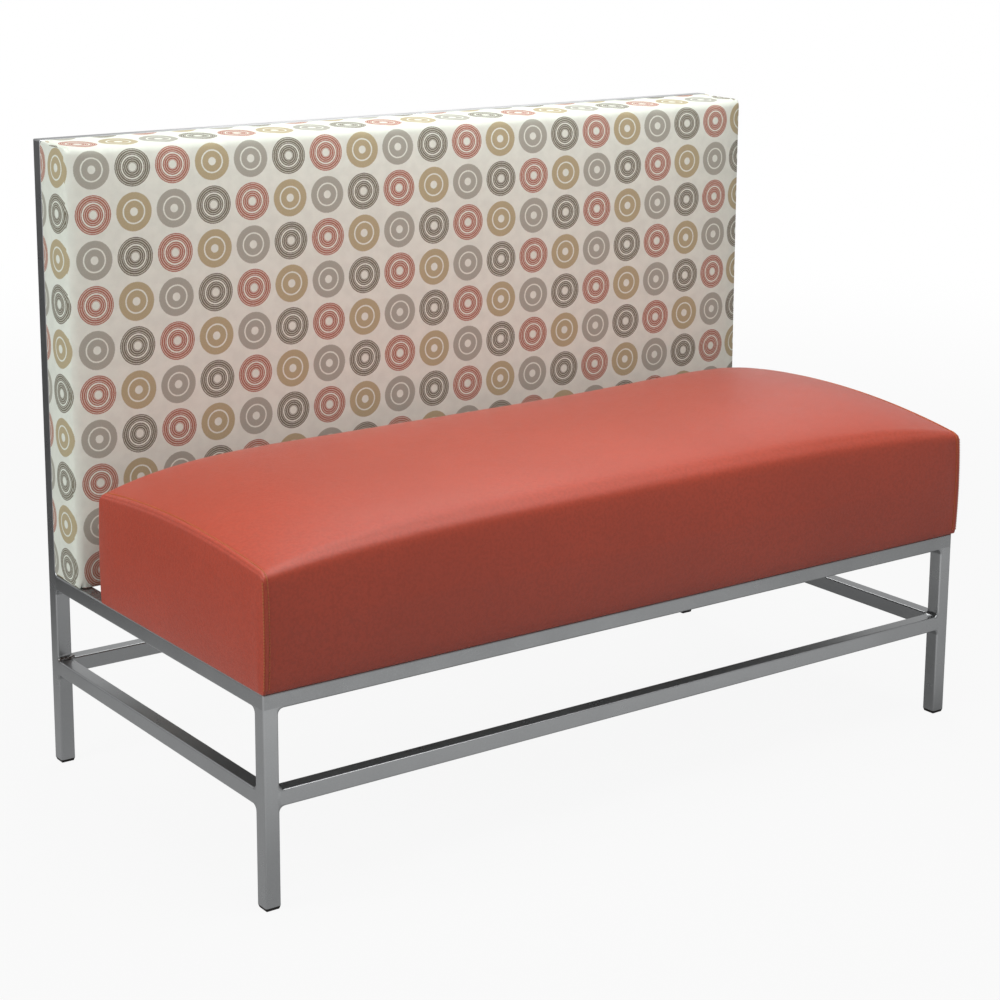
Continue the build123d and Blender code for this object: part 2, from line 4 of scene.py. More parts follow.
import bmesh
import bpy
import numpy as np
from bpy.props import FloatProperty, FloatVectorProperty, PointerProperty
from mathutils import Matrix, Vector
from mathutils.bvhtree import BVHTree


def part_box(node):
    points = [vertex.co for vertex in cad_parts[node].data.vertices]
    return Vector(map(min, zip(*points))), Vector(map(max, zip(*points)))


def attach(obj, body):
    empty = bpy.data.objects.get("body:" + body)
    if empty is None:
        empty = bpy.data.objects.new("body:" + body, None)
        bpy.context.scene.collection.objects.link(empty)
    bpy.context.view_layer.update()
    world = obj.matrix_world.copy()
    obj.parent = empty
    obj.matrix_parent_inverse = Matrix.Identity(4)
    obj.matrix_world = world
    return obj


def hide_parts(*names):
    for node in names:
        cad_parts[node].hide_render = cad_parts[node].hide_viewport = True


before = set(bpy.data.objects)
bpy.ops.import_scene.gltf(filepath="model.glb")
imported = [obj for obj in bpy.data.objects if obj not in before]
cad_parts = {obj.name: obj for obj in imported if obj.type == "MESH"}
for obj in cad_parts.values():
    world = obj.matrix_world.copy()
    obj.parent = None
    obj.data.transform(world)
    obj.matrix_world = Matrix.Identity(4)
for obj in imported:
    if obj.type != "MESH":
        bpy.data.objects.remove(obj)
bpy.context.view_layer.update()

bl_info = {
    "name": "Booth Bench",
    "version": (1, 0, 0),
    "blender": (4, 5, 0),
    "location": "3D View > Sidebar > Booth Bench",
    "description": "Dresses a packed booth bench with its upholstery, stitching, welds, finishes and stage",
    "category": "Object",
}

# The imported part's own sizes, in metres
cushion_low, cushion_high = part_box("seat_cover")
pad_low, pad_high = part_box("back_cover")
rail_low, rail_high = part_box("seat_rail_front")
leg_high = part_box("front_leg_left")[1]
post_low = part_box("rear_post_left")[0]
panel_low, panel_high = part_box("outer_back_cover")
cloth_low, cloth_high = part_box("seat_dust_cover")
bench_half = pad_high.x
tube = rail_high.z - rail_low.z

# The body that every piece rides on
body = "root"

# The frame's joints, in metres: the tubes' rounded edges, and the welds' radius, rise and hidden overlap
tube_round = 0.0025
weld_radius = 0.0075
weld_rise = 0.00004
weld_overlap = 0.0001
bead_rise, bead_rise_spread = 0.0011, 0.0008
bead_radius, bead_radius_spread = 0.0031, 0.0005
bead_count = 12

# The seat cushion: the net's steps beside the side seams, the folds and puffs under its front top corners,
# and the slack at which its side panels would be flat
seam_steps = (0.0015, 0.0035, 0.0058)
outer_steps = (0.0105, 0.0145)
by_seam_reach = 0.0115
fold_inset, fold_level, fold_lean = 0.0065, 0.14, 0.10
fold_drop, fold_start, fold_length, fold_fade = 0.009, 0.004, 0.034, 0.026
fold_width, lip_inset, lip_width, lip_height = 0.0022, 0.006, 0.003, 0.0012
puff_inset, puff_width, puff_start = 0.013, 0.006, 0.02
flat_slack = 0.02

# The back pad: where the foam spreads and where the pleats run, and the finest marks of the print
flare_length, flare_from_rear = 0.04, 0.012
pleat_inset, pleat_lean, pleat_width, pleat_margin = 0.0065, 0.04, 0.0012, 0.004
print_edge = 0.0005
groove_pitch = 0.0031

# The outside back: its edges and net, the swell between its screws, and where they draw it in
panel_side_round, panel_edge_round = 0.008, 0.0014
panel_parts = {0: 40, 2: 20}
panel_swell, panel_margin = 0.0006, 0.05
draw_depth, draw_reach, screws_apart = 0.0008, 0.025, 0.03

# The dust cloth: its thickness, and the ripples between its staples
cloth_thickness, cloth_margin, cloth_sag = 0.00035, 0.03, 0.0001
ripple_height, ripple_reach, ripples_along, ripples_across = 0.0003, 0.04, 0.115, 0.123

# The cloth simulation's length in frames, and how often its shifts are evened out
swell_frames = 20
evening_passes = 40

tube_nodes = [
    "rear_post_left", "rear_post_right", "back_top_rail", "seat_rail_front", "seat_rail_left",
    "seat_rail_right", "seat_rail_rear", "front_leg_left", "front_leg_right", "stretcher_front",
    "stretcher_rear", "stretcher_left", "stretcher_right", "seat_bearer_rear", "seat_bearer_middle",
    "seat_mount_tabs", "back_mount_tabs"]
glide_nodes = ["glide_front_left", "glide_front_right", "glide_rear_left", "glide_rear_right"]
board_nodes = ["seat_board", "back_board", "outer_back_board"]
fixing_nodes = [
    "seat_staples", "back_staples", "seat_tee_nuts", "back_tee_nuts", "seat_washers", "seat_screws",
    "back_cup_washers", "back_screws"]

# The welded joints: the tube that ends there, its axis, its welded ends, and the sides with an inner corner
above_and_below = ((2, 1), (2, -1))
joints = [
    ("front_leg_left", 2, (1,), ((0, 1), (1, 1))), ("front_leg_right", 2, (1,), ((0, -1), (1, 1))),
    ("stretcher_front", 0, (-1, 1), above_and_below), ("stretcher_rear", 0, (-1, 1), above_and_below),
    ("stretcher_left", 1, (-1, 1), above_and_below), ("stretcher_right", 1, (-1, 1), above_and_below),
    ("seat_rail_left", 1, (1,), above_and_below), ("seat_rail_right", 1, (1,), above_and_below)]
beaded_joints = [
    ("stretcher_left", 1, 1), ("stretcher_right", 1, 1), ("stretcher_rear", 0, -1), ("stretcher_rear", 0, 1)]


def length(label, description, default):
    """A distance that a user can change."""
    return FloatProperty(
        name=label, description=description, default=default, unit="LENGTH", subtype="DISTANCE")


def colour(label, description, default):
    """A colour in linear red, green and blue."""
    return FloatVectorProperty(name=label, description=description, default=default, size=3, subtype="COLOR")


class BenchSeatSizes(bpy.types.PropertyGroup):
    corner_height: length("Corner height", "The side seam's height over the rail at the corners", 0.156)
    end_bow: length("End bow", "How far the side seam bows up between the corners", 0.013)
    front_rise: length("Front rise", "How far the front edge rises from the ends to the middle", 0.035)
    crown_rise: length("Crown rise", "How far the crown rises from the ends to the middle", 0.034)
    rear_rise: length("Rear rise", "How far the rear edge rises from the ends to the middle", 0.041)
    full_front: length("Full end, front", "How much fuller the +X end stands at the front", 0.004)
    full_crown: length("Full end, crown", "How much fuller the +X end stands at its crown", 0.016)
    full_rear: length("Full end, rear", "How much fuller the +X end stands at the rear", 0.024)
    edge_roll: length("Edge roll", "How far the top rolls up beside the side seam", 0.003)
    roll_width: length("Roll width", "How wide that roll is", 0.006)
    front_swell: length("Front swell", "How far the front panel stands out past the rail", 0.010)
    rear_swell: length("Rear swell", "How far the rear panel stands out", 0.004)
    side_swell: length("Side swell", "How far the side panels stand out", 0.006)
    seam_swell: length("Seam swell", "How far the side seams stand out", 0.0015)
    panel_bow: length("Panel bow", "How far the front and rear panels bow between top and bottom", 0.0015)
    seam_pull: length("Seam pull", "How far the seams draw the panels' edges in", 0.002)
    tuck: length("Tuck", "The height of the tuck under the panels", 0.009)
    front_round: length("Front round", "The radius of the front edge at mid length", 0.020)
    rear_round: length("Rear round", "The radius of the rear edge at mid length", 0.016)
    end_round: length("End round", "The radius of both edges at the side seams", 0.010)
    seam_depth: length("Seam depth", "How deep the side seams' grooves are", 0.0022)
    seam_allowance: length("Seam allowance", "From the side seam to the topstitching", 0.008)
    allowance_rise: length("Allowance rise", "How far the doubled vinyl stands up beside the seam", 0.0005)
    stitch_depth: length("Stitch depth", "How deep the topstitching pulls the vinyl in", 0.0008)
    seam_puff: length("Seam puff", "How far the side panels puff out beside the upright seams", 0.0014)
    pucker_depth: length("Pucker depth", "How deep the fold at each top corner is", 0.0032)
    stitch_pitch: length("Stitch pitch", "From one stitch to the next", 0.0040)
    stitch_length: length("Stitch length", "The length of thread that shows in a stitch", 0.0029)
    thread_radius: length("Thread radius", "The radius of the thread", 0.00048)
    slack: length("Slack", "How much smaller the cushion is before the pressure swells it", 0.003)
    swell_limit: length("Swell limit", "How far the pressure may move a point", 0.006)
    pressure: FloatProperty(
        name="Pressure", description="The pressure that swells the cushion", default=4.0, min=0)


class BenchBackSizes(bpy.types.PropertyGroup):
    crown: length("Crown", "How far the pad's face stands out in the middle", 0.004)
    set_back: length("Set back", "How far the face's edges stand behind the pad's front", 0.001)
    top_round: length("Top round", "The radius of the face's top edge", 0.012)
    bottom_round: length("Bottom round", "The radius of the face's bottom edge", 0.007)
    end_round: length("End round", "The radius of the face's two upright edges", 0.008)
    corner_drop: length("Corner drop", "How far the pad's ends draw in at top and bottom", 0.004)
    flare: length("Flare", "How far the foam spreads past the board at the -X end's face", 0.0045)
    full_flare: length("Full flare", "How far it spreads at the +X end's face", 0.0090)
    rear_round: length("Rear round", "The radius of the edges on the board", 0.003)
    end_swell: length("End swell", "How far the foam's ends bulge out", 0.0022)
    pleat_depth: length("Pleat depth", "How deep the folded pleats' slits are", 0.004)
    slack: length("Slack", "How much flatter the pad is before the pressure swells it", 0.002)
    swell_limit: length("Swell limit", "How far the pressure may move a point", 0.005)
    pressure: FloatProperty(
        name="Pressure", description="The pressure that swells the pad", default=3.0, min=0)
    motif_pitch: length("Motif pitch", "From one printed disc to the next", 0.063)
    motif_radius: length("Motif radius", "The outer radius of a printed disc", 0.0275)
    thread_pitch: length("Thread pitch", "From one thread of the weave to the next", 0.0011)


class BenchFinishes(bpy.types.PropertyGroup):
    vinyl: colour("Vinyl", "The seat's vinyl", (0.53, 0.068, 0.031))
    thread: colour("Thread", "The topstitching's thread", (0.62, 0.19, 0.065))
    ground: colour("Ground", "The back fabric's ground", (0.90, 0.94, 0.84))
    motif_red: colour("Terracotta motif", "The first colour of the print", (0.42, 0.105, 0.05))
    motif_gold: colour("Khaki motif", "The second colour of the print", (0.50, 0.41, 0.23))
    motif_grey: colour("Grey motif", "The third colour of the print", (0.42, 0.41, 0.345))
    motif_olive: colour("Olive motif", "The fourth colour of the print", (0.15, 0.125, 0.075))
    paint: colour("Paint", "The frame's metallic powder coat", (0.313, 0.32, 0.325))
    weld_tint: colour("Weld tint", "The scorched coat over the rougher welds", (0.075, 0.05, 0.035))
    glide: colour("Glide", "The foot glides' plastic", (0.012, 0.008, 0.007))


class BenchStageSizes(bpy.types.PropertyGroup):
    camera_azimuth: FloatProperty(
        name="Azimuth", description="The camera's place round the bench", default=math.radians(-34.656),
        unit="ROTATION", subtype="ANGLE")
    camera_elevation: FloatProperty(
        name="Elevation", description="The camera's angle over the horizon", default=math.radians(11.849),
        unit="ROTATION", subtype="ANGLE")
    camera_place: FloatVectorProperty(
        name="Camera place", description="Where the camera stands", default=(-1.905, -2.5337, 1.2598),
        size=3, unit="LENGTH", subtype="TRANSLATION")
    camera_lens: FloatProperty(name="Lens", description="The focal length in millimetres", default=79.956)
    camera_shift: FloatVectorProperty(
        name="Shift", description="The lens's shift, as shares of the picture", default=(0.07, -0.15), size=2)
    floor_size: length("Floor size", "The side of the floor", 24.0)


class Wire:
    """A shader socket that Python arithmetic is written on."""

    def __init__(self, recipe, socket):
        self.recipe = recipe
        self.socket = socket

    def __add__(self, other):
        return self.recipe.maths("ADD", self, other)

    __radd__ = __add__

    def __sub__(self, other):
        return self.recipe.maths("SUBTRACT", self, other)

    def __rsub__(self, other):
        return self.recipe.maths("SUBTRACT", other, self)

    def __mul__(self, other):
        return self.recipe.maths("MULTIPLY", self, other)

    __rmul__ = __mul__

    def __truediv__(self, other):
        return self.recipe.maths("DIVIDE", self, other)


class Recipe:
    """A node tree for a material or for the world, built node by node."""

    def __init__(self, holder, surface="ShaderNodeBsdfPrincipled", result="ShaderNodeOutputMaterial"):
        self.holder = holder
        holder.use_nodes = True
        self.tree = holder.node_tree
        self.tree.nodes.clear()
        self.surface = self.tree.nodes.new(surface)
        self.result = self.tree.nodes.new(result)
        self.show(self.surface.outputs[0])

    def show(self, shader):
        """Put a shader's output on the surface."""
        self.tree.links.new(shader, self.result.inputs["Surface"])

    def node(self, kind, settings=None, inputs=None, output=0):
        """Make a node of a type, with its settings first and then its sockets' values or links."""
        made = self.tree.nodes.new(kind)
        for name, value in (settings or {}).items():
            if name == "stops":
                self.set_stops(made.color_ramp, value)
            else:
                setattr(made, name, value)
        self.feed(made, inputs or {})
        return Wire(self, made.outputs[output])

    def feed(self, made, inputs):
        """Give a node's sockets their values or links."""
        for name, value in inputs.items():
            if isinstance(value, Wire):
                self.tree.links.new(value.socket, made.inputs[name])
            else:
                made.inputs[name].default_value = value

    def set_stops(self, ramp, stops):
        """Set a ramp's interpolation and its stops, given as places with grey levels or colours."""
        ramp.interpolation = stops[0]
        places = stops[1:]
        while len(ramp.elements) < len(places):
            ramp.elements.new(1)
        for element, (place, level) in zip(ramp.elements, places):
            element.position = place
            element.color = (*level, 1) if isinstance(level, (tuple, list)) else (level, level, level, 1)

    def maths(self, operation, *values):
        """A Math node on wires and numbers."""
        return self.node("ShaderNodeMath", {"operation": operation}, dict(enumerate(values)))

    def blend(self, factor, first, second, mode="MIX"):
        """Mix two colours."""
        colours = {0: factor}
        for place, value in ((6, first), (7, second)):
            colours[place] = value if isinstance(value, Wire) else (*value[:3], 1)
        return self.node("ShaderNodeMix", {"data_type": "RGBA", "blend_type": mode}, colours, output=2)

    def between(self, value, low, high):
        """A smooth step from none at the low value to all at the high one."""
        settings = {"interpolation_type": "SMOOTHSTEP"}
        return self.node("ShaderNodeMapRange", settings, {0: value, 1: low, 2: high, 3: 0.0, 4: 1.0})

    def noise(self, scale, detail=2.0, vector=None, roughness=0.5):
        """Cloud noise in the piece's own metres."""
        place = vector or self.place()
        return self.node(
            "ShaderNodeTexNoise", None,
            {"Vector": place, "Scale": scale, "Detail": detail, "Roughness": roughness})

    def place(self):
        """The piece's own coordinates."""
        return self.node("ShaderNodeTexCoord", output=3)

    def axes(self, vector):
        """A vector's three numbers."""
        split = self.node("ShaderNodeSeparateXYZ", None, {0: vector}).socket.node
        return [Wire(self, split.outputs[axis]) for axis in (0, 1, 2)]

    def cells(self, scale, feature="F1", distance="EUCLIDEAN", output=0, randomness=1.0):
        """A cell pattern in the piece's own metres."""
        return self.node(
            "ShaderNodeTexVoronoi", {"feature": feature, "distance": distance},
            {"Vector": self.place(), "Scale": scale, "Randomness": randomness}, output)

    def rays(self):
        """Whether a ray comes from the camera, and whether from gloss or glass."""
        path = self.node("ShaderNodeLightPath").socket.node
        camera, gloss, glass = (
            Wire(self, path.outputs[f"Is {kind} Ray"]) for kind in ("Camera", "Glossy", "Transmission"))
        return camera, self.maths("MAXIMUM", gloss, glass)

    def bump(self, height, strength, distance):
        """A bump from a height, for the shader's normal."""
        return self.node(
            "ShaderNodeBump", None, {"Height": height, "Strength": strength, "Distance": distance})

    def finish(self, **sockets):
        """Feed the surface shader, with each socket's underscores read as spaces."""
        self.feed(self.surface, {name.replace("_", " "): value for name, value in sockets.items()})
        return self.holder


def coat(name):
    """A new material's recipe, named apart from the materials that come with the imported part."""
    return Recipe(bpy.data.materials.new("bench_" + name))


def toned(tint, share):
    """A colour made lighter or darker by a share of itself."""
    return [min(1, channel * share) for channel in tint]


def vinyl_material(finishes):
    """Upholstery vinyl: a fine leather grain, a soft sheen and slight changes of tone."""
    recipe = coat("seat_vinyl")
    vinyl = finishes.vinyl
    tone = recipe.noise(5.0, 3.0)
    base = recipe.blend(recipe.between(tone, 0.35, 0.65), vinyl, toned(vinyl, 0.93))
    mottle = recipe.between(recipe.noise(230.0, 2.0), 0.4, 0.65)
    base = recipe.blend(mottle * 0.5, base, toned(vinyl, 0.76))
    pebbles = recipe.between(recipe.cells(620.0, "DISTANCE_TO_EDGE"), 0.0, 0.16)
    creases = recipe.noise(240.0, 4.0)
    height = pebbles * 0.4 + creases * 1.5
    fleck = recipe.noise(900.0, 2.0)
    base = recipe.blend(recipe.between(fleck, 0.45, 0.75) * 0.12, base, toned(vinyl, 1.5))
    rough = 0.34 + recipe.noise(38.0, 3.0) * 0.08 + (1 - pebbles) * 0.05
    return recipe.finish(
        Base_Color=base, Roughness=rough, Normal=recipe.bump(height, 0.35, 0.0007),
        Specular_IOR_Level=0.5, Sheen_Weight=0.3, Sheen_Roughness=0.3)


def thread_material(finishes):
    """Bonded sewing thread, with its twist as fine slanting ridges."""
    recipe = coat("seat_thread")
    twist = recipe.node(
        "ShaderNodeTexWave", {"wave_type": "BANDS", "bands_direction": "DIAGONAL"},
        {"Vector": recipe.place(), "Scale": 900.0, "Distortion": 0.6})
    base = recipe.blend(twist * 0.35, finishes.thread, toned(finishes.thread, 0.45))
    return recipe.finish(
        Base_Color=base, Roughness=0.5 + twist * 0.2, Normal=recipe.bump(twist, 0.5, 0.0001))


def printed_fabric_material(back, finishes):
    """Woven upholstery fabric with a plain repeat of rings in four colours, laid out by its own map."""
    recipe = coat("back_fabric")
    plain = finishes.ground
    across, along = recipe.axes(recipe.node("ShaderNodeUVMap", {"uv_map": "cloth"}))[:2]
    motif, hue = ring_motifs(recipe, back, finishes, across, along)
    turn = math.tau / back.thread_pitch
    warp, weft = (recipe.maths("SINE", way * turn) * 0.5 + 0.5 for way in (across, along))
    slub = recipe.noise(60.0, 3.0)
    ground = recipe.blend(recipe.between(slub, 0.3, 0.7), plain, toned(plain, 0.94))
    hue = recipe.blend(recipe.between(weft, 0.2, 0.9) * 0.12, hue, plain)
    base = recipe.blend(motif, ground, hue)
    speckle = recipe.noise(1100.0, 1.0)
    base = recipe.blend(recipe.between(speckle, 0.4, 0.8) * 0.10, base, (0.95, 0.95, 0.88))
    base = recipe.blend(warp * weft * 0.10, base, toned(plain, 0.55), mode="MULTIPLY")
    height = (warp + weft) * 0.5 + motif * 0.35 + speckle * 0.25
    return recipe.finish(
        Base_Color=base, Roughness=0.86, Normal=recipe.bump(height, 0.35, 0.0004),
        Specular_IOR_Level=0.28, Sheen_Weight=0.12, Sheen_Roughness=0.5)


def ring_motifs(recipe, back, finishes, across, along):
    """Where the print is and in what colour: discs on a straight grid, each with a ring and an eye."""
    pitch, radius = back.motif_pitch, back.motif_radius
    across = across / pitch + bench_half / pitch + 0.02
    along = along / pitch - pad_high.z / pitch + 0.02
    cell_across, cell_along = recipe.maths("FLOOR", across), recipe.maths("FLOOR", along)
    from_across, from_along = across - cell_across - 0.5, along - cell_along - 0.5
    away = recipe.maths("SQRT", from_across * from_across + from_along * from_along) * pitch
    ragged = away + (recipe.noise(700.0, 1.0) - 0.5) * 0.0011

    def within(reach):
        """Full inside a radius and gone outside it, over a soft edge."""
        return 1 - recipe.between(ragged, reach - print_edge, reach + print_edge)

    disc, eye = within(radius), within(radius * 0.22)
    ring = within(radius * 0.64) * (1 - within(radius * 0.56))
    order = recipe.maths("FLOORED_MODULO", cell_across + cell_along * 2.0 + 0.5, 4.0) / 4.0
    grooves = recipe.between(recipe.maths("SINE", ragged * (math.tau / groove_pitch)), 0.35, 0.85)
    grooved = recipe.maths("COMPARE", order, 0.125, 0.02) + recipe.maths("COMPARE", order, 0.875, 0.02)
    motif = disc * (1 - ring) * (1 - eye) * (1 - grooves * grooved * 0.7)
    four = [finishes.motif_red, finishes.motif_gold, finishes.motif_grey, finishes.motif_olive]
    stops = ["CONSTANT"] + [(place / 4, tuple(tint)) for place, tint in enumerate(four)]
    hue = recipe.node("ShaderNodeValToRGB", {"stops": stops}, {0: order})
    return motif, hue


def powder_coat_material(finishes, name="powder_coated_steel", scorched=False):
    """Metallic powder coat: a fine orange peel, tiny flakes, and a painted highlight that lightens its convex
    edges.
    """
    recipe = coat(name)
    paint = finishes.paint
    flakes = recipe.node("ShaderNodeSeparateColor", None, {0: recipe.cells(2600.0, output=1)})
    cloud = recipe.noise(16.0, 4.0)
    base = recipe.blend(recipe.between(cloud, 0.35, 0.7) * 0.5, paint, toned(paint, 0.86))
    base = recipe.blend(recipe.between(flakes, 0.82, 1.0) * 0.28, base, toned(paint, 2.2))
    # Painted highlight: the coat is made lighter where the surface is convex, along the tubes' rounded edges.
    painted_edge_highlight = recipe.between(recipe.node("ShaderNodeNewGeometry", output=7), 0.53, 0.60) * 0.35
    base = recipe.blend(painted_edge_highlight, base, toned(paint, 1.8))
    if scorched:
        base = recipe.blend(recipe.between(recipe.noise(240.0), 0.3, 0.7), finishes.weld_tint, base)
    peel = recipe.noise(420.0, 2.0)
    rough = 0.24 + recipe.noise(26.0, 4.0) * 0.10
    return recipe.finish(
        Base_Color=base, Metallic=0.88, Roughness=rough, Normal=recipe.bump(peel, 0.10, 0.0004))


def glide_material(finishes):
    """Moulded plastic with a fine spark texture and a scuffed foot."""
    recipe = coat("glide_plastic")
    grain = recipe.noise(1500.0, 2.0)
    height = recipe.axes(recipe.place())[2]
    scuff = (1 - recipe.between(height, 0.0002, 0.0014)) * recipe.between(recipe.noise(300.0), 0.45, 0.6)
    base = recipe.blend(scuff * 0.4, finishes.glide, (0.10, 0.09, 0.08))
    return recipe.finish(
        Base_Color=base, Roughness=0.5 + grain * 0.15, Normal=recipe.bump(grain, 0.25, 0.0001),
        Specular_IOR_Level=0.3)


def plywood_material():
    """Birch plywood: long grain on the faces and plies at the edges."""
    recipe = coat("plywood")
    drawn, fine = (
        recipe.node("ShaderNodeMapping", None, {"Vector": recipe.place(), "Scale": scale})
        for scale in ((6.0, 90.0, 90.0), (30.0, 900.0, 900.0)))
    grain = recipe.noise(1.6, 6.0, vector=drawn, roughness=0.62)
    pores = recipe.noise(1.0, 3.0, vector=fine)
    base = recipe.blend(recipe.between(grain, 0.3, 0.7), (0.55, 0.38, 0.21), (0.42, 0.27, 0.14))
    base = recipe.blend(recipe.between(pores, 0.55, 0.8) * 0.3, base, (0.26, 0.15, 0.08))
    return recipe.finish(Base_Color=base, Roughness=0.62, Normal=recipe.bump(pores, 0.2, 0.0003))


def zinc_material():
    """Bright zinc plate with a faint spangle and fine drawn marks."""
    recipe = coat("zinc_plated_steel")
    base = recipe.blend(recipe.cells(340.0, "SMOOTH_F1"), (0.60, 0.60, 0.58), (0.42, 0.43, 0.45))
    marks = recipe.noise(900.0, 3.0)
    return recipe.finish(
        Base_Color=base, Metallic=1.0, Roughness=0.26 + marks * 0.16, Normal=recipe.bump(marks, 0.08, 0.0002))


def foam_material():
    """Open-cell upholstery foam."""
    recipe = coat("foam")
    cells = recipe.cells(900.0)
    base = recipe.blend(cells, (0.75, 0.66, 0.40), (0.55, 0.46, 0.26))
    return recipe.finish(Base_Color=base, Roughness=0.95, Normal=recipe.bump(cells, 0.6, 0.0005))


def dust_cloth_material():
    """Black spun-bonded cloth with its pattern of small bonded points."""
    recipe = coat("dust_cloth")
    points = recipe.cells(620.0, distance="CHEBYCHEV", randomness=0.15)
    fibres = recipe.noise(1400.0, 4.0)
    base = recipe.blend(recipe.between(fibres, 0.4, 0.7), (0.012, 0.012, 0.012), (0.035, 0.035, 0.035))
    height = recipe.between(points, 0.1, 0.4) * 0.7 + fibres * 0.5
    return recipe.finish(
        Base_Color=base, Roughness=0.8 - points * 0.1, Normal=recipe.bump(height, 0.5, 0.0004))


def floor_material():
    """A plain pale floor: white to the camera; to gloss and to glass a glow with painted reflections, lighter
    in front and at the left front, darker behind and to the right; the bench's soft shadow is kept.
    """
    recipe = coat("studio_floor")
    base = recipe.blend(recipe.noise(3.0, 3.0), (0.44, 0.44, 0.44), (0.48, 0.48, 0.48))
    recipe.finish(Base_Color=base, Roughness=0.95, Specular_IOR_Level=0.0)
    from_bench = recipe.node("ShaderNodeVectorMath", {"operation": "LENGTH"}, {0: recipe.place()}, output=1)
    far = recipe.between(from_bench, 1.2, 4.5)
    x, y = recipe.axes(recipe.place())[:2]
    # Painted reflections: what gloss and glass see of the floor is made brighter in front and in a patch at
    # the left front, and darker behind the bench, to its right and under its right half.
    painted_reflection = (1 - recipe.between(y, -0.95, -0.3)) * 0.5 + 0.5
    painted_reflection = painted_reflection * (1 - recipe.between(y, 0.35, 1.3) * 0.9) * (1 - recipe.between(x, 0.6, 1.1) * 0.3)
    painted_shade_beneath = recipe.between(x, -0.1, 0.3) * recipe.between(y, -0.45, -0.25)
    painted_reflection = painted_reflection * (1 - painted_shade_beneath * 0.5)
    painted_glint_left_front = (1 - recipe.between(x, -1.45, -0.95)) * (1 - recipe.between(y, -0.1, 0.4))
    painted_reflection = recipe.maths("MAXIMUM", painted_reflection, painted_glint_left_front)
    camera, mirrored = recipe.rays()
    shown = recipe.maths("MAXIMUM", camera * (0.92 + far * 0.08), mirrored * 0.9)
    level = recipe.maths("MAXIMUM", camera, mirrored * painted_reflection)
    glow = recipe.node(
        "ShaderNodeEmission", None, {"Color": recipe.blend(level, (0, 0, 0), (1, 1, 1)), "Strength": 1.0})
    lit = Wire(recipe, recipe.surface.outputs[0])
    recipe.show(recipe.node("ShaderNodeMixShader", None, {0: shown, 1: lit, 2: glow}).socket)
    return recipe.holder


def graded(total, finest, coarsest, growth, start=()):
    """Stations along a length: fine at both ends, growing towards the middle, with the first ones given."""
    stations = [0.0] + list(start)
    step = finest
    while stations[-1] + step < total / 2:
        stations.append(stations[-1] + step)
        step = min(step * growth, coarsest)
    if total / 2 - stations[-1] < finest:
        stations.pop()
    middle = total / 2
    far = [total - station for station in reversed(stations)]
    return np.array(stations + [middle] + far) / total


def quarter_arc(start, end, upright_first, count=9):
    """Points on a quarter round between two points, leaving the first upright or level."""
    turn = np.linspace(0, math.pi / 2, count)
    slow, quick = 1 - np.cos(turn), np.sin(turn)
    across, rise = (slow, quick) if upright_first else (quick, slow)
    return np.stack([
        start[0] + (end[0] - start[0]) * across, start[1] + (end[1] - start[1]) * rise], axis=1)


def bow(start, middle, end, count=17):
    """Points on a parabola through three points, spaced evenly in the first two's direction."""
    turn = np.linspace(0, 1, count)[:, None]
    start, middle, end = np.array(start), np.array(middle), np.array(end)
    return (
        start * (1 - turn) * (1 - 2 * turn) + middle * 4 * turn * (1 - turn) + end * turn * (2 * turn - 1))


def run_along(points):
    """How far each of a line's points lies along it."""
    return np.concatenate([[0], np.cumsum(np.linalg.norm(np.diff(points, axis=0), axis=1))])


def spread(points, shares):
    """Points resampled at the given shares of a line's length."""
    run = run_along(points)
    return np.stack([np.interp(shares * run[-1], run, points[:, axis]) for axis in (0, 1)], axis=1)


def halves(points):
    """A line's first and second half, split at its middle point."""
    middle = len(points) // 2
    return points[:middle + 1], points[middle:]


def section_loop(foot_front, face_front, round_front, top, round_rear, face_rear, foot_rear, shares):
    """A closed section resampled side by side: front, top, rear and bottom, each split at its corners."""
    upright_shares, level_shares = shares
    foot_a, foot_b = halves(foot_front)
    front_a, front_b = halves(round_front)
    rear_a, rear_b = halves(round_rear)
    back_a, back_b = halves(foot_rear)
    front = spread(np.concatenate([foot_b, face_front, front_a]), upright_shares)
    crown = spread(np.concatenate([front_b, top, rear_a]), level_shares)
    rear = spread(np.concatenate([rear_b, face_rear, back_a]), upright_shares)
    under = spread(np.concatenate([back_b, foot_a]), level_shares)
    return np.concatenate([front[:-1], crown[:-1], rear[:-1], under[:-1]])


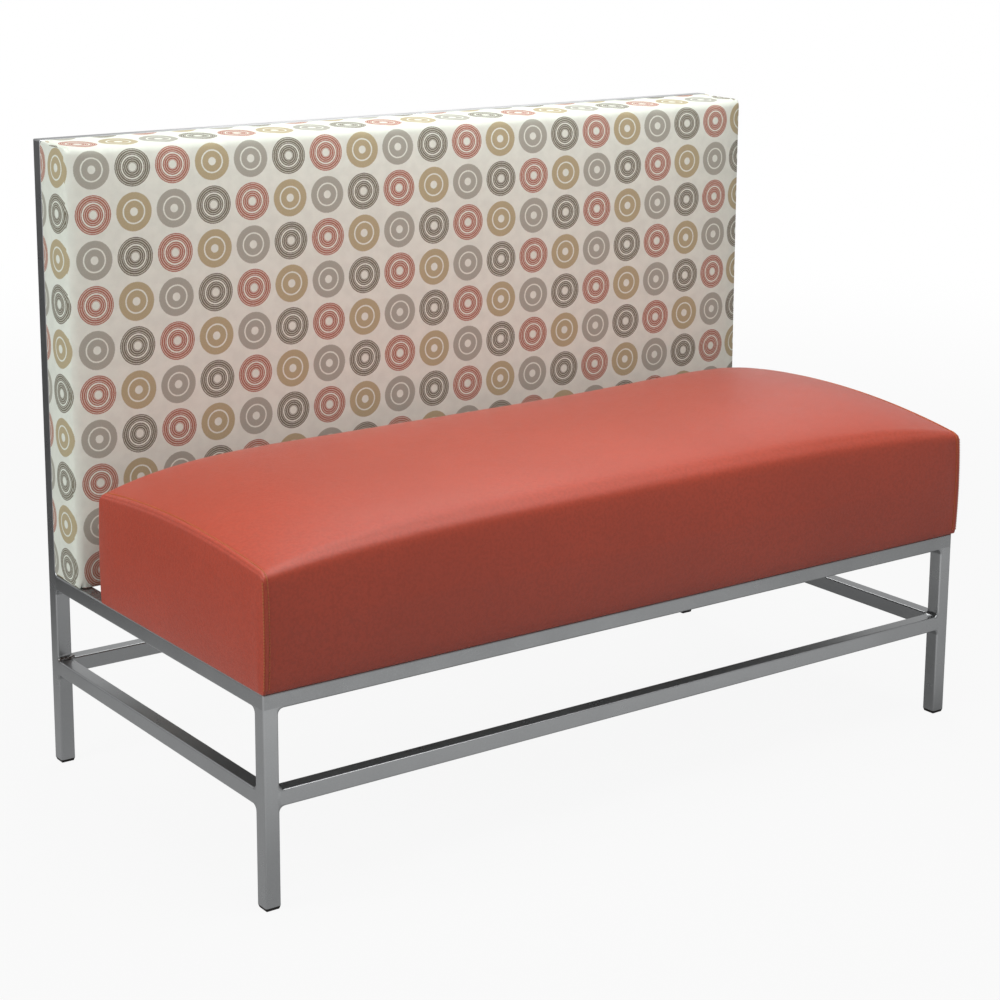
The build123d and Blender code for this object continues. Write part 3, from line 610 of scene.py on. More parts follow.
def cushion_loop(seat, x, seam_x, shares, slack):
    """The seat cushion's section at a place along it, drawn smaller by the slack."""
    from_seam = seam_x - abs(x)
    along = abs(x) / seam_x
    roll = 1 - (1 - min(from_seam / seat.roll_width, 1)) ** 2
    lift, front_lift = 1 - along ** 6.5, 1 - along ** 4.5
    fuller = max(x / seam_x, 0) ** 3
    base = cushion_low.z
    front, rear = rail_low.y, cushion_high.y - seat.rear_swell
    seam_top = base + seat.corner_height + seat.edge_roll * roll
    front_z = seam_top + front_lift * (seat.front_rise - seat.edge_roll) - slack * roll
    crown_z = seam_top + seat.end_bow + lift * (seat.crown_rise - seat.edge_roll) - slack * roll
    rear_z = seam_top + lift * (seat.rear_rise - seat.edge_roll) - slack * roll
    front_z, crown_z = front_z + fuller * seat.full_front, crown_z + fuller * seat.full_crown
    rear_z += fuller * seat.full_rear
    out_front = front - seat.front_swell + seat.seam_pull * (1 - roll) + slack * roll
    out_rear = rear + seat.rear_swell - seat.seam_pull * (1 - roll) - slack * roll
    front_round = seat.end_round + lift * (seat.front_round - seat.end_round)
    rear_round = seat.end_round + lift * (seat.rear_round - seat.end_round)
    front_foot = (out_front + seat.panel_bow, base + seat.tuck)
    front_turn = (out_front + seat.panel_bow, front_z - front_round)
    rear_turn = (out_rear - seat.panel_bow, rear_z - rear_round)
    rear_foot = (out_rear - seat.panel_bow, base + seat.tuck)
    crown_front, crown_rear = (front + front_round, front_z), (rear - rear_round, rear_z)
    middle_y = (crown_front[0] + crown_rear[0]) / 2
    return section_loop(
        quarter_arc((front, base), front_foot, upright_first=False),
        bow(front_foot, (out_front, (front_foot[1] + front_turn[1]) / 2), front_turn),
        quarter_arc(front_turn, crown_front, upright_first=True),
        bow(crown_front, (middle_y, crown_z), crown_rear),
        quarter_arc(crown_rear, rear_turn, upright_first=False),
        bow(rear_turn, (out_rear, (rear_foot[1] + rear_turn[1]) / 2), rear_foot),
        quarter_arc(rear_foot, (rear, base), upright_first=True), shares)


def pad_loop(back, from_end, half, shares, slack):
    """The back pad's section at a distance from its end, drawn flatter by the slack."""
    turned = max(0.0, 1 - from_end / back.end_round)
    drawn = 1 - math.sqrt(1 - turned ** 2)
    width = 1 - (1 - min(from_end / half, 1)) ** 4
    drop, face_in = back.corner_drop * drawn, back.end_round * drawn
    bottom, top, rear = pad_low.z + drop, pad_high.z - drop, pad_high.y
    face = pad_low.y + back.set_back + face_in
    crown = (back.crown - slack) * width
    middle_z = (bottom + top) / 2
    foot_round, head_round, rear_round = back.bottom_round, back.top_round, back.rear_round
    return section_loop(
        quarter_arc((face + foot_round, bottom), (face, bottom + foot_round), upright_first=False),
        bow((face, bottom + foot_round), (face - crown, middle_z), (face, top - head_round)),
        quarter_arc((face, top - head_round), (face + head_round, top), upright_first=True),
        np.linspace((face + head_round, top), (rear - rear_round, top), 9),
        quarter_arc((rear - rear_round, top), (rear, top - rear_round), upright_first=False),
        np.linspace((rear, top - rear_round), (rear, bottom + rear_round), 9),
        quarter_arc((rear, bottom + rear_round), (rear - rear_round, bottom), upright_first=True), shares)


class PaddedShell:
    """A closed cushion form: a strip of sections wrapped round it, and a panel at each end."""

    def __init__(self, stations, loops, shares, end_bulge):
        self.stations = stations
        self.upright_count = len(shares[0]) - 1
        self.level_count = len(shares[1]) - 1
        self.loop_count = 2 * (self.upright_count + self.level_count)
        self.shares = shares
        self.strip = np.empty((len(stations), self.loop_count, 3))
        self.strip[:, :, 0] = stations[:, None]
        self.strip[:, :, 1:] = loops
        self.ends = [self.end_panel(0, -1, end_bulge), self.end_panel(-1, 1, end_bulge)]

    def edge(self, loop, side):
        """One side of a section's loop, with both its corners, from front to rear or bottom to top."""
        up, level = self.upright_count, self.level_count
        closed = np.concatenate([loop, loop[:1]])
        if side == "front":
            return closed[:up + 1]
        if side == "top":
            return closed[up:up + level + 1]
        if side == "rear":
            return closed[up + level:2 * up + level + 1][::-1]
        return closed[2 * up + level:][::-1]

    def end_panel(self, row, direction, end_bulge):
        """The inner points of an end panel, stretched between its four edges and bulged outwards."""
        loop = self.strip[row]
        front, rear = self.edge(loop, "front"), self.edge(loop, "rear")
        top, bottom = self.edge(loop, "top"), self.edge(loop, "bottom")
        level = self.shares[1][:, None, None]
        upright = self.shares[0][None, :, None]
        panel = (
            (1 - level) * front[None, :] + level * rear[None, :]
            + (1 - upright) * bottom[:, None] + upright * top[:, None]
            - (1 - level) * (1 - upright) * bottom[0] - level * (1 - upright) * bottom[-1]
            - (1 - level) * upright * top[0] - level * upright * top[-1])
        panel[:, :, 0] += direction * end_bulge(level[:, :, 0], upright[:, :, 0])
        return panel[1:-1, 1:-1]

    def points(self):
        """All the form's points, the strip's first."""
        return np.concatenate([self.strip.reshape(-1, 3)] + [end.reshape(-1, 3) for end in self.ends])

    def panel_index(self, which, level, upright):
        """The point at a place of an end panel, which is on the strip along the panel's edges."""
        up, across = self.upright_count, self.level_count
        row = (0 if which == 0 else len(self.stations) - 1) * self.loop_count
        if level == 0:
            return row + upright
        if level == across:
            return row + (2 * up + across - upright) % self.loop_count
        if upright == up:
            return row + up + level
        if upright == 0:
            return row + (self.loop_count - level) % self.loop_count
        inner = (level - 1) * (up - 1) + upright - 1
        return len(self.stations) * self.loop_count + which * (across - 1) * (up - 1) + inner

    def faces(self):
        """Quads that face outwards."""
        made = []
        for row in range(len(self.stations) - 1):
            for step in range(self.loop_count):
                here, there = row * self.loop_count, (row + 1) * self.loop_count
                after = (step + 1) % self.loop_count
                made.append((here + step, there + step, there + after, here + after))
        for which in (0, 1):
            for level in range(self.level_count):
                for upright in range(self.upright_count):
                    corners = [(level + a, upright + b) for a, b in ((0, 0), (1, 0), (1, 1), (0, 1))]
                    if which == 0:
                        corners.reverse()
                    made.append(tuple(self.panel_index(which, *corner) for corner in corners))
        return made

    def spread_shift(self, cage, shift):
        """A cage's shifts carried to this finer form, which has the same sections at more stations."""
        count = len(cage.stations) * cage.loop_count
        rows = shift[:count].reshape(len(cage.stations), cage.loop_count, 3)
        fine = np.empty_like(self.strip)
        for step in range(self.loop_count):
            for axis in range(3):
                fine[:, step, axis] = np.interp(self.stations, cage.stations, rows[:, step, axis])
        return np.concatenate([fine.reshape(-1, 3), shift[count:]])


def only(piece):
    """Select one object alone and make it active."""
    bpy.ops.object.select_all(action="DESELECT")
    piece.select_set(True)
    bpy.context.view_layer.objects.active = piece


def new_piece(name, points, faces):
    """A mesh object from points and faces, selected alone."""
    data = bpy.data.meshes.new(name)
    data.from_pydata([tuple(point) for point in points], [], faces)
    data.update()
    piece = bpy.data.objects.new(name, data)
    bpy.context.collection.objects.link(piece)
    only(piece)
    return piece


def places_of(piece):
    """All a mesh's points."""
    return np.array([vertex.co for vertex in piece.data.vertices])


def apply_modifiers(piece):
    """Apply all of a piece's modifiers in order."""
    only(piece)
    for modifier in list(piece.modifiers):
        bpy.ops.object.modifier_apply(modifier=modifier.name)


def swell(cage, held, pressure, limit):
    """Blow a cage up by cloth simulation and return how far each of its points moves, within a limit."""
    group = cage.vertex_groups.new(name="held")
    for index, weight in enumerate(held):
        if weight > 0:
            group.add([index], float(weight), "REPLACE")
    cloth = cage.modifiers.new("Cloth", "CLOTH")
    settings = cloth.settings
    settings.quality, settings.mass = 5, 0.3
    settings.tension_stiffness = settings.compression_stiffness = 25
    settings.shear_stiffness, settings.bending_stiffness = 12, 3
    settings.use_pressure = True
    settings.uniform_pressure_force = pressure
    settings.effector_weights.gravity = 0
    settings.vertex_group_mass = "held"
    cloth.collision_settings.use_collision = False
    cloth.point_cache.frame_start, cloth.point_cache.frame_end = 1, swell_frames
    start = places_of(cage)
    for step in range(1, swell_frames + 1):
        bpy.context.scene.frame_set(step)
    apply_modifiers(cage)
    shift = places_of(cage) - start
    reach = np.linalg.norm(shift, axis=1, keepdims=True)
    bpy.context.scene.frame_set(1)
    return evened(cage, shift * np.minimum(1, limit / np.maximum(reach, 1e-9)), held)


def evened(cage, shift, held):
    """Shifts with their ripples evened out along the mesh's edges, as wadding under the cover does."""
    ends = np.array([edge.vertices for edge in cage.data.edges])
    meeting = np.bincount(ends.ravel(), minlength=len(shift))[:, None]
    free = (held < 1)[:, None]
    for step in range(evening_passes):
        around = np.zeros_like(shift)
        np.add.at(around, ends[:, 0], shift[ends[:, 1]])
        np.add.at(around, ends[:, 1], shift[ends[:, 0]])
        shift = (shift + around / meeting) / 2 * free
    return shift


def swelled(form, stations, kept, settings, hold):
    shell, cage = form(stations, settings.slack), form(kept, settings.slack)
    points = cage.points()
    held = np.zeros(len(points))
    hold(cage, held[:len(kept) * cage.loop_count].reshape(len(kept), cage.loop_count))
    blown = new_piece("cage", points, cage.faces())
    shift = swell(blown, held, settings.pressure, settings.swell_limit)
    bpy.data.objects.remove(blown)
    return shell, shell.points() + shell.spread_shift(cage, shift)


def point_normals(piece):
    """Each point's outward direction."""
    return np.array([vertex.normal for vertex in piece.data.vertices])


def move_points(piece, places):
    """Put a mesh's points at new places."""
    piece.data.vertices.foreach_set("co", places.astype(np.float32).ravel())
    piece.data.update()


def refine(piece, levels):
    """Subdivide a piece smoothly and shade it smooth."""
    smooth = piece.modifiers.new("Subdivision", "SUBSURF")
    smooth.levels = levels
    smooth.render_levels = levels
    apply_modifiers(piece)
    bpy.ops.object.shade_smooth()


def dress(piece, material):
    """Give a piece its material and the body that it rides on."""
    piece.data.materials.clear()
    piece.data.materials.append(material)
    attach(piece, body)


def cushion_stations(seat, seam_x):
    """Places along the cushion: close together by the side seams, where the topstitching runs."""
    by_seam = [*seam_steps, seat.seam_allowance, *outer_steps, 0.019, 0.026, 0.036]
    net = graded(2 * seam_x, finest=0.013, coarsest=0.0155, growth=1.1, start=by_seam)
    return net * 2 * seam_x - seam_x


def seam_relief(seat, from_seam):
    """How far the vinyl stands off the plain form beside a side seam."""
    places = [0, *seam_steps, seat.seam_allowance, *outer_steps]
    rise = seat.allowance_rise
    return np.interp(from_seam, places, [-seat.seam_depth, 0, rise, rise, -seat.stitch_depth, 0.0001, 0])


class BENCH_OT_seat_cushion(bpy.types.Operator):
    """Build the seat cushion, swell it, and sink its seams and its corner folds"""
    bl_idname = "bench.seat_cushion"
    bl_label = "Seat cushion"

    def execute(self, context):
        seat, finishes = context.scene.bench_seat, context.scene.bench_finishes
        seam_x = bench_half + seat.seam_swell
        shares = (
            graded(0.155, finest=0.0035, coarsest=0.012, growth=1.35, start=[0.003]),
            graded(0.43, finest=0.0035, coarsest=0.014, growth=1.3, start=[0.0015, 0.0035]))
        stations = cushion_stations(seat, seam_x)
        from_seam = seam_x - np.abs(stations)
        by_seam = (from_seam > 1e-6) & (from_seam <= by_seam_reach)

        def side_bulge(level, upright, slack):
            """The side panels' bulge: full over most of the panel, and gone at the seam."""
            reach = (seat.side_swell - seat.seam_swell) * (1 - slack / flat_slack)
            return reach * (1 - np.abs(2 * level - 1) ** 9) * (1 - np.abs(2 * upright - 1) ** 3)

        def form(places, slack):
            loops = [cushion_loop(seat, x, seam_x, shares, slack) for x in places]
            return PaddedShell(places, np.array(loops), shares, lambda a, b: side_bulge(a, b, slack))

        def hold(cage, rows):
            """The cover is held under the board, and nearly so at the side seams."""
            rows[[0, -1]] = 0.9
            rows[:, 2 * cage.upright_count + cage.level_count:] = 1
            rows[:, :2] = 1

        shell, places = swelled(form, stations, stations[~by_seam], seat, hold)
        cushion = new_piece("seat_cushion", places, shell.faces())
        normals = point_normals(cushion)
        relief = self.corner_folds(seat, places, seam_x)
        rows = relief[:len(stations) * shell.loop_count].reshape(len(stations), shell.loop_count)
        on_sides = 2 * shell.upright_count + shell.level_count
        rows[:, 1:on_sides] += seam_relief(seat, from_seam)[:, None]
        move_points(cushion, places + normals * relief[:, None])
        refine(cushion, 1)
        dress(cushion, vinyl_material(finishes))
        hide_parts("seat_cover", "seat_foam")
        return {"FINISHED"}

    def corner_folds(self, seat, places, seam_x):
        """A short upright fold in each side panel, under the front top corner, and a puff by the seam."""
        x, y, z = places.T
        front = rail_low.y - seat.front_swell + seat.seam_pull
        fold_y = front + fold_inset + (z - cushion_low.z - fold_level) * fold_lean
        top = cushion_low.z + seat.corner_height - fold_drop
        fold = np.exp(-((y - fold_y) / fold_width) ** 2)
        lip = np.exp(-((y - fold_y - lip_inset) / lip_width) ** 2)
        within = np.clip((top - z) / fold_start, 0, 1) * np.clip((z - top + fold_length) / fold_fade, 0, 1)
        puff = np.exp(-((y - front - puff_inset) / puff_width) ** 2) * np.clip((top - z) / puff_start, 0, 1)
        on_side = np.abs(x) > seam_x + 0.0002
        return on_side * (within * (lip * lip_height - fold * seat.pucker_depth) + puff * seat.seam_puff)


def stitch_mesh(radius, long):
    """One stitch: a short length of thread with round ends, lying along its own X."""
    bpy.ops.object.select_all(action="DESELECT")
    bpy.ops.mesh.primitive_cylinder_add(
        vertices=6, radius=radius, depth=long - 2 * radius, end_fill_type="NGON")
    stitch = bpy.context.object
    bpy.ops.object.mode_set(mode="EDIT")
    bpy.ops.mesh.select_all(action="DESELECT")
    bpy.ops.object.mode_set(mode="OBJECT")
    for polygon in stitch.data.polygons:
        polygon.select = abs(polygon.normal.z) > 0.9
    bpy.ops.object.mode_set(mode="EDIT")
    bpy.ops.mesh.inset(thickness=radius * 0.45, depth=radius * 0.6)
    bpy.ops.mesh.select_all(action="SELECT")
    bpy.ops.transform.rotate(value=math.pi / 2, orient_axis="Y", center_override=(0, 0, 0))
    bpy.ops.object.mode_set(mode="OBJECT")
    return stitch


class BENCH_OT_seat_stitching(bpy.types.Operator):
    """Sew the topstitching beside both side seams, and the stitches that show in the upright seams"""
    bl_idname = "bench.seat_stitching"
    bl_label = "Seat stitching"

    def execute(self, context):
        seat, finishes = context.scene.bench_seat, context.scene.bench_finishes
        cushion = bpy.data.objects["seat_cushion"]
        surface = BVHTree.FromObject(cushion, bpy.context.evaluated_depsgraph_get())
        stitch = stitch_mesh(seat.thread_radius, seat.stitch_length)
        sample = places_of(stitch)
        faces = [tuple(polygon.vertices) for polygon in stitch.data.polygons]
        bpy.data.objects.remove(stitch)
        seam_x = bench_half + seat.seam_swell
        points, quads = [], []
        for side in (-1, 1):
            for from_seam, top_too in ((seat.seam_allowance, True), (0.0, False)):
                line = self.line_on_cushion(seat, side * (seam_x - from_seam), seam_x, top_too)
                for centre, ahead in self.along_line(line, seat.stitch_pitch):
                    found, normal = surface.find_nearest(centre)[:2]
                    if from_seam == 0:
                        normal = (normal + Vector((side * 0.5, -0.5, 0))).normalized()
                    across = normal.cross(ahead).normalized()
                    ahead = across.cross(normal).normalized()
                    turn = Matrix((ahead, across, normal)).transposed()
                    lift = seat.thread_radius * 0.35
                    first = len(points)
                    points += [found + normal * lift + turn @ Vector(point) for point in sample]
                    quads += [tuple(first + corner for corner in face) for face in faces]
        thread = new_piece("seat_stitches", points, quads)
        bpy.ops.object.shade_smooth_by_angle(angle=math.radians(50))
        dress(thread, thread_material(finishes))
        return {"FINISHED"}

    def line_on_cushion(self, seat, x, seam_x, top_too):
        """The stitch line's route over the cushion's front, top and rear."""
        up, over = 23, 59
        shares = (np.linspace(0, 1, up + 1), np.linspace(0, 1, over + 1))
        loop = cushion_loop(seat, x, seam_x, shares, 0.0)
        last = 2 * up + over if top_too else up
        return [Vector((x, y, z)) for y, z in loop[1:last]]

    def along_line(self, line, pitch):
        """Evenly spaced places along a route, each with its direction."""
        start = 0.0
        for here, there in zip(line, line[1:]):
            run = (there - here).length
            while start < run:
                yield here.lerp(there, start / run), (there - here).normalized()
                start += pitch
            start -= run


class BENCH_OT_back_pad(bpy.types.Operator):
    """Build the back pad, swell it, fold its corner pleats and lay out its cloth"""
    bl_idname = "bench.back_pad"
    bl_label = "Back pad"

    def execute(self, context):
        back, finishes = context.scene.bench_back, context.scene.bench_finishes
        half = bench_half
        shares = (
            graded(0.627, finest=0.004, coarsest=0.016, growth=1.35, start=[0.004]),
            graded(0.086, finest=0.003, coarsest=0.012, growth=1.4, start=[0.003]))
        turn = back.end_round * np.array([0.04, 0.12, 0.24, 0.38, 0.55, 0.76, 1.0])
        net = graded(2 * half, finest=0.003, coarsest=0.0165, growth=1.3, start=turn)
        stations = net * 2 * half - half

        def end_bulge(level, upright):
            """The bulge of the pad's ends, gone along their edges."""
            return back.end_swell * (1 - np.abs(2 * level - 1) ** 4) * (1 - np.abs(2 * upright - 1) ** 12)

        def form(places, slack):
            loops = [pad_loop(back, half - abs(x), half, shares, slack) for x in places]
            return PaddedShell(places, np.array(loops), shares, end_bulge)

        def hold(cage, rows):
            """The cover is held on the board, and partly along the ends' edges."""
            rows[:, cage.upright_count + cage.level_count - 2:] = 1
            rows[[0, 1, -2, -1]] = 0.6

        shell, places = swelled(form, stations, stations, back, hold)
        places = self.flared(back, places)
        pad = new_piece("back_pad", places, shell.faces())
        move_points(pad, places - point_normals(pad) * self.pleats(back, places)[:, None])
        self.lay_cloth(pad, shell, back)
        refine(pad, 1)
        dress(pad, printed_fabric_material(back, finishes))
        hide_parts("back_cover", "back_foam")
        return {"FINISHED"}

    def flared(self, back, places):
        """The pad's ends, with the foam spread past the board towards the face."""
        rear = pad_high.y - flare_from_rear
        forward = np.clip((rear - places[:, 1]) / (rear - pad_low.y), 0, 1)
        near_end = np.clip((np.abs(places[:, 0]) - bench_half + flare_length) / flare_length, 0, 1) ** 2
        reach = np.where(places[:, 0] > 0, back.full_flare, -back.flare)
        places[:, 0] += forward * near_end * reach
        return places

    def pleats(self, back, places):
        """How deep each point lies in the folded pleats over and under the pad's ends."""
        x, y, z = places.T
        from_end = pad_high.x - np.abs(x)
        pleat = pleat_inset - (pad_high.y - y) * pleat_lean
        slit = np.exp(-((from_end - pleat) / pleat_width) ** 2)
        drop = back.corner_drop + pleat_margin
        level = (z > pad_high.z - drop) | (z < pad_low.z + drop)
        return level * slit * back.pleat_depth * (y < pad_high.y - pleat_margin)

    def lay_cloth(self, pad, shell, back):
        """Map the cloth in metres: flat over the face, on over the top and ends as it was wrapped."""
        chart = pad.data.uv_layers.new(name="cloth")
        places = places_of(pad)
        middle = shell.strip[len(shell.stations) // 2]
        around = run_along(middle) + middle[0, 2]
        whole = np.linalg.norm(middle[0] - middle[-1]) + around[-1] - around[0]
        level_row = self.flared(back, shell.strip[:, shell.upright_count // 2].copy())
        sideways = run_along(level_row)
        sideways -= sideways[-1] / 2
        edge_y = level_row[0, 1]
        values = []
        strip_faces = (len(shell.stations) - 1) * shell.loop_count
        for order, polygon in enumerate(pad.data.polygons):
            wrapped = order % shell.loop_count == shell.loop_count - 1
            for member in polygon.vertices:
                if order < strip_faces:
                    row, step = divmod(member, shell.loop_count)
                    values += [sideways[row], around[step] + (whole if wrapped and step == 0 else 0)]
                else:
                    x, y, z = places[member]
                    values += [math.copysign(sideways[-1] + y - edge_y, x), z]
        chart.data.foreach_set("uv", np.array(values, dtype=np.float32))


def size_and_place(piece, name, span, centre):
    """Name a new unit shape, and size and place it in Edit mode, so its object stays at the origin."""
    piece.name = name
    bpy.ops.object.mode_set(mode="EDIT")
    bpy.ops.transform.resize(value=tuple(span))
    bpy.ops.transform.translate(value=tuple(centre))
    bpy.ops.object.mode_set(mode="OBJECT")


def bevel(piece, width, segments, **settings):
    """Round a piece's edges."""
    rounded = piece.modifiers.new("Bevel", "BEVEL")
    rounded.width, rounded.segments = width, segments
    for name, value in settings.items():
        setattr(rounded, name, value)
    apply_modifiers(piece)


class BENCH_OT_outer_back(bpy.types.Operator):
    """Build the outside back: a thin covered panel, drawn in where its screws hold it"""
    bl_idname = "bench.outer_back"
    bl_label = "Outside back"

    def execute(self, context):
        centre = (panel_low + panel_high) / 2
        span = panel_high - panel_low
        bpy.ops.object.select_all(action="DESELECT")
        bpy.ops.mesh.primitive_cube_add(size=1, location=(0, 0, 0))
        panel = bpy.context.object
        size_and_place(panel, "outer_back_panel", span, centre)
        weights = panel.data.attributes.new("bevel_weight_edge", "FLOAT", "EDGE")
        for edge in panel.data.edges:
            first, second = (panel.data.vertices[index].co for index in edge.vertices)
            weights.data[edge.index].value = float(abs(first.y - second.y) > span.y / 2)
        bevel(panel, panel_side_round, 1, limit_method="WEIGHT")
        bevel(panel, panel_edge_round, 3, limit_method="ANGLE", angle_limit=math.radians(60))
        bpy.ops.object.mode_set(mode="EDIT")
        for axis, parts in panel_parts.items():
            direction = [float(other == axis) for other in (0, 1, 2)]
            for part in range(1, parts):
                place = panel_low[axis] + span[axis] * part / parts
                bpy.ops.mesh.select_all(action="SELECT")
                bpy.ops.mesh.bisect(plane_co=[place * way for way in direction], plane_no=direction)
        bpy.ops.object.mode_set(mode="OBJECT")
        self.draw_in(panel)
        only(panel)
        bpy.ops.object.shade_smooth_by_angle(angle=math.radians(50))
        self.lay_cloth(panel)
        dress(panel, bpy.data.materials["bench_back_fabric"])
        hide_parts("outer_back_cover")
        return {"FINISHED"}

    def draw_in(self, panel):
        """Sink the cloth a little round each screw and swell it between them."""
        places = places_of(panel)
        rear = places[:, 1] > panel_high.y - 0.0005
        from_end = panel_high.x - np.abs(places[:, 0])
        from_edge = np.minimum(places[:, 2] - panel_low.z, panel_high.z - places[:, 2])
        across, height = (np.clip(far / panel_margin, 0, 1) for far in (from_end, from_edge))
        places[:, 1] += rear * panel_swell * np.sqrt(across * height)
        for x, z in self.screw_places():
            near = np.hypot(places[:, 0] - x, places[:, 2] - z)
            places[:, 1] -= rear * draw_depth * np.exp(-(near / draw_reach) ** 2)
        move_points(panel, places)

    def screw_places(self):
        """The middle of each screw in the back, from the loose pieces of their node."""
        places = places_of(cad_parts["back_screws"])
        found = []
        for x, z in places[:, (0, 2)]:
            if all(math.hypot(x - a, z - b) > screws_apart for a, b in found):
                found.append((x, z))
        middles = []
        for x, z in found:
            near = places[np.hypot(places[:, 0] - x, places[:, 2] - z) < screws_apart]
            middles.append([(near[:, axis].min() + near[:, axis].max()) / 2 for axis in (0, 2)])
        return middles

    def lay_cloth(self, panel):
        """Map the panel's cloth flat, seen from behind."""
        chart = panel.data.uv_layers.get("cloth") or panel.data.uv_layers.new(name="cloth")
        for loop in panel.data.loops:
            place = panel.data.vertices[loop.vertex_index].co
            chart.data[loop.index].uv = (-place.x + place.y - panel_high.y, place.z + place.y - panel_high.y)


class BENCH_OT_dust_cloth(bpy.types.Operator):
    """Stretch the dust cloth under the seat, slack between its staples"""
    bl_idname = "bench.dust_cloth"
    bl_label = "Dust cloth"

    def execute(self, context):
        span = cloth_high - cloth_low
        centre = (cloth_high + cloth_low) / 2
        bpy.ops.object.select_all(action="DESELECT")
        bpy.ops.mesh.primitive_grid_add(x_subdivisions=120, y_subdivisions=40, size=1, location=(0, 0, 0))
        cloth = bpy.context.object
        size_and_place(cloth, "dust_cloth", (span.x, span.y, 1), (centre.x, centre.y, cloth_high.z - 0.0002))
        places = places_of(cloth)
        from_side = np.minimum(cloth_high.x - places[:, 0], places[:, 0] - cloth_low.x)
        from_end = np.minimum(cloth_high.y - places[:, 1], places[:, 1] - cloth_low.y)
        inner = np.clip(np.minimum(from_side, from_end) / cloth_margin, 0, 1)
        ripple = np.sin(places[:, 0] * math.tau / ripples_along) * np.exp(-from_end / ripple_reach)
        ripple += np.sin(places[:, 1] * math.tau / ripples_across) * np.exp(-from_side / ripple_reach)
        places[:, 2] -= inner * cloth_sag + np.clip(ripple, 0, 1) * inner * ripple_height
        move_points(cloth, places)
        wall = cloth.modifiers.new("Wall", "SOLIDIFY")
        wall.thickness, wall.offset = cloth_thickness, 0
        apply_modifiers(cloth)
        bpy.ops.object.shade_smooth()
        dress(cloth, dust_cloth_material())
        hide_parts("seat_dust_cover")
        return {"FINISHED"}


def skin(form, rings):
    """Skin a row of like rings of points and cap both ends."""
    made = [[form.verts.new(point) for point in ring] for ring in rings]
    for here, there in zip(made, made[1:]):
        for step in range(len(here)):
            after = (step + 1) % len(here)
            form.faces.new((here[step], here[after], there[after], there[step]))
    form.faces.new(made[0])
    form.faces.new(made[-1])


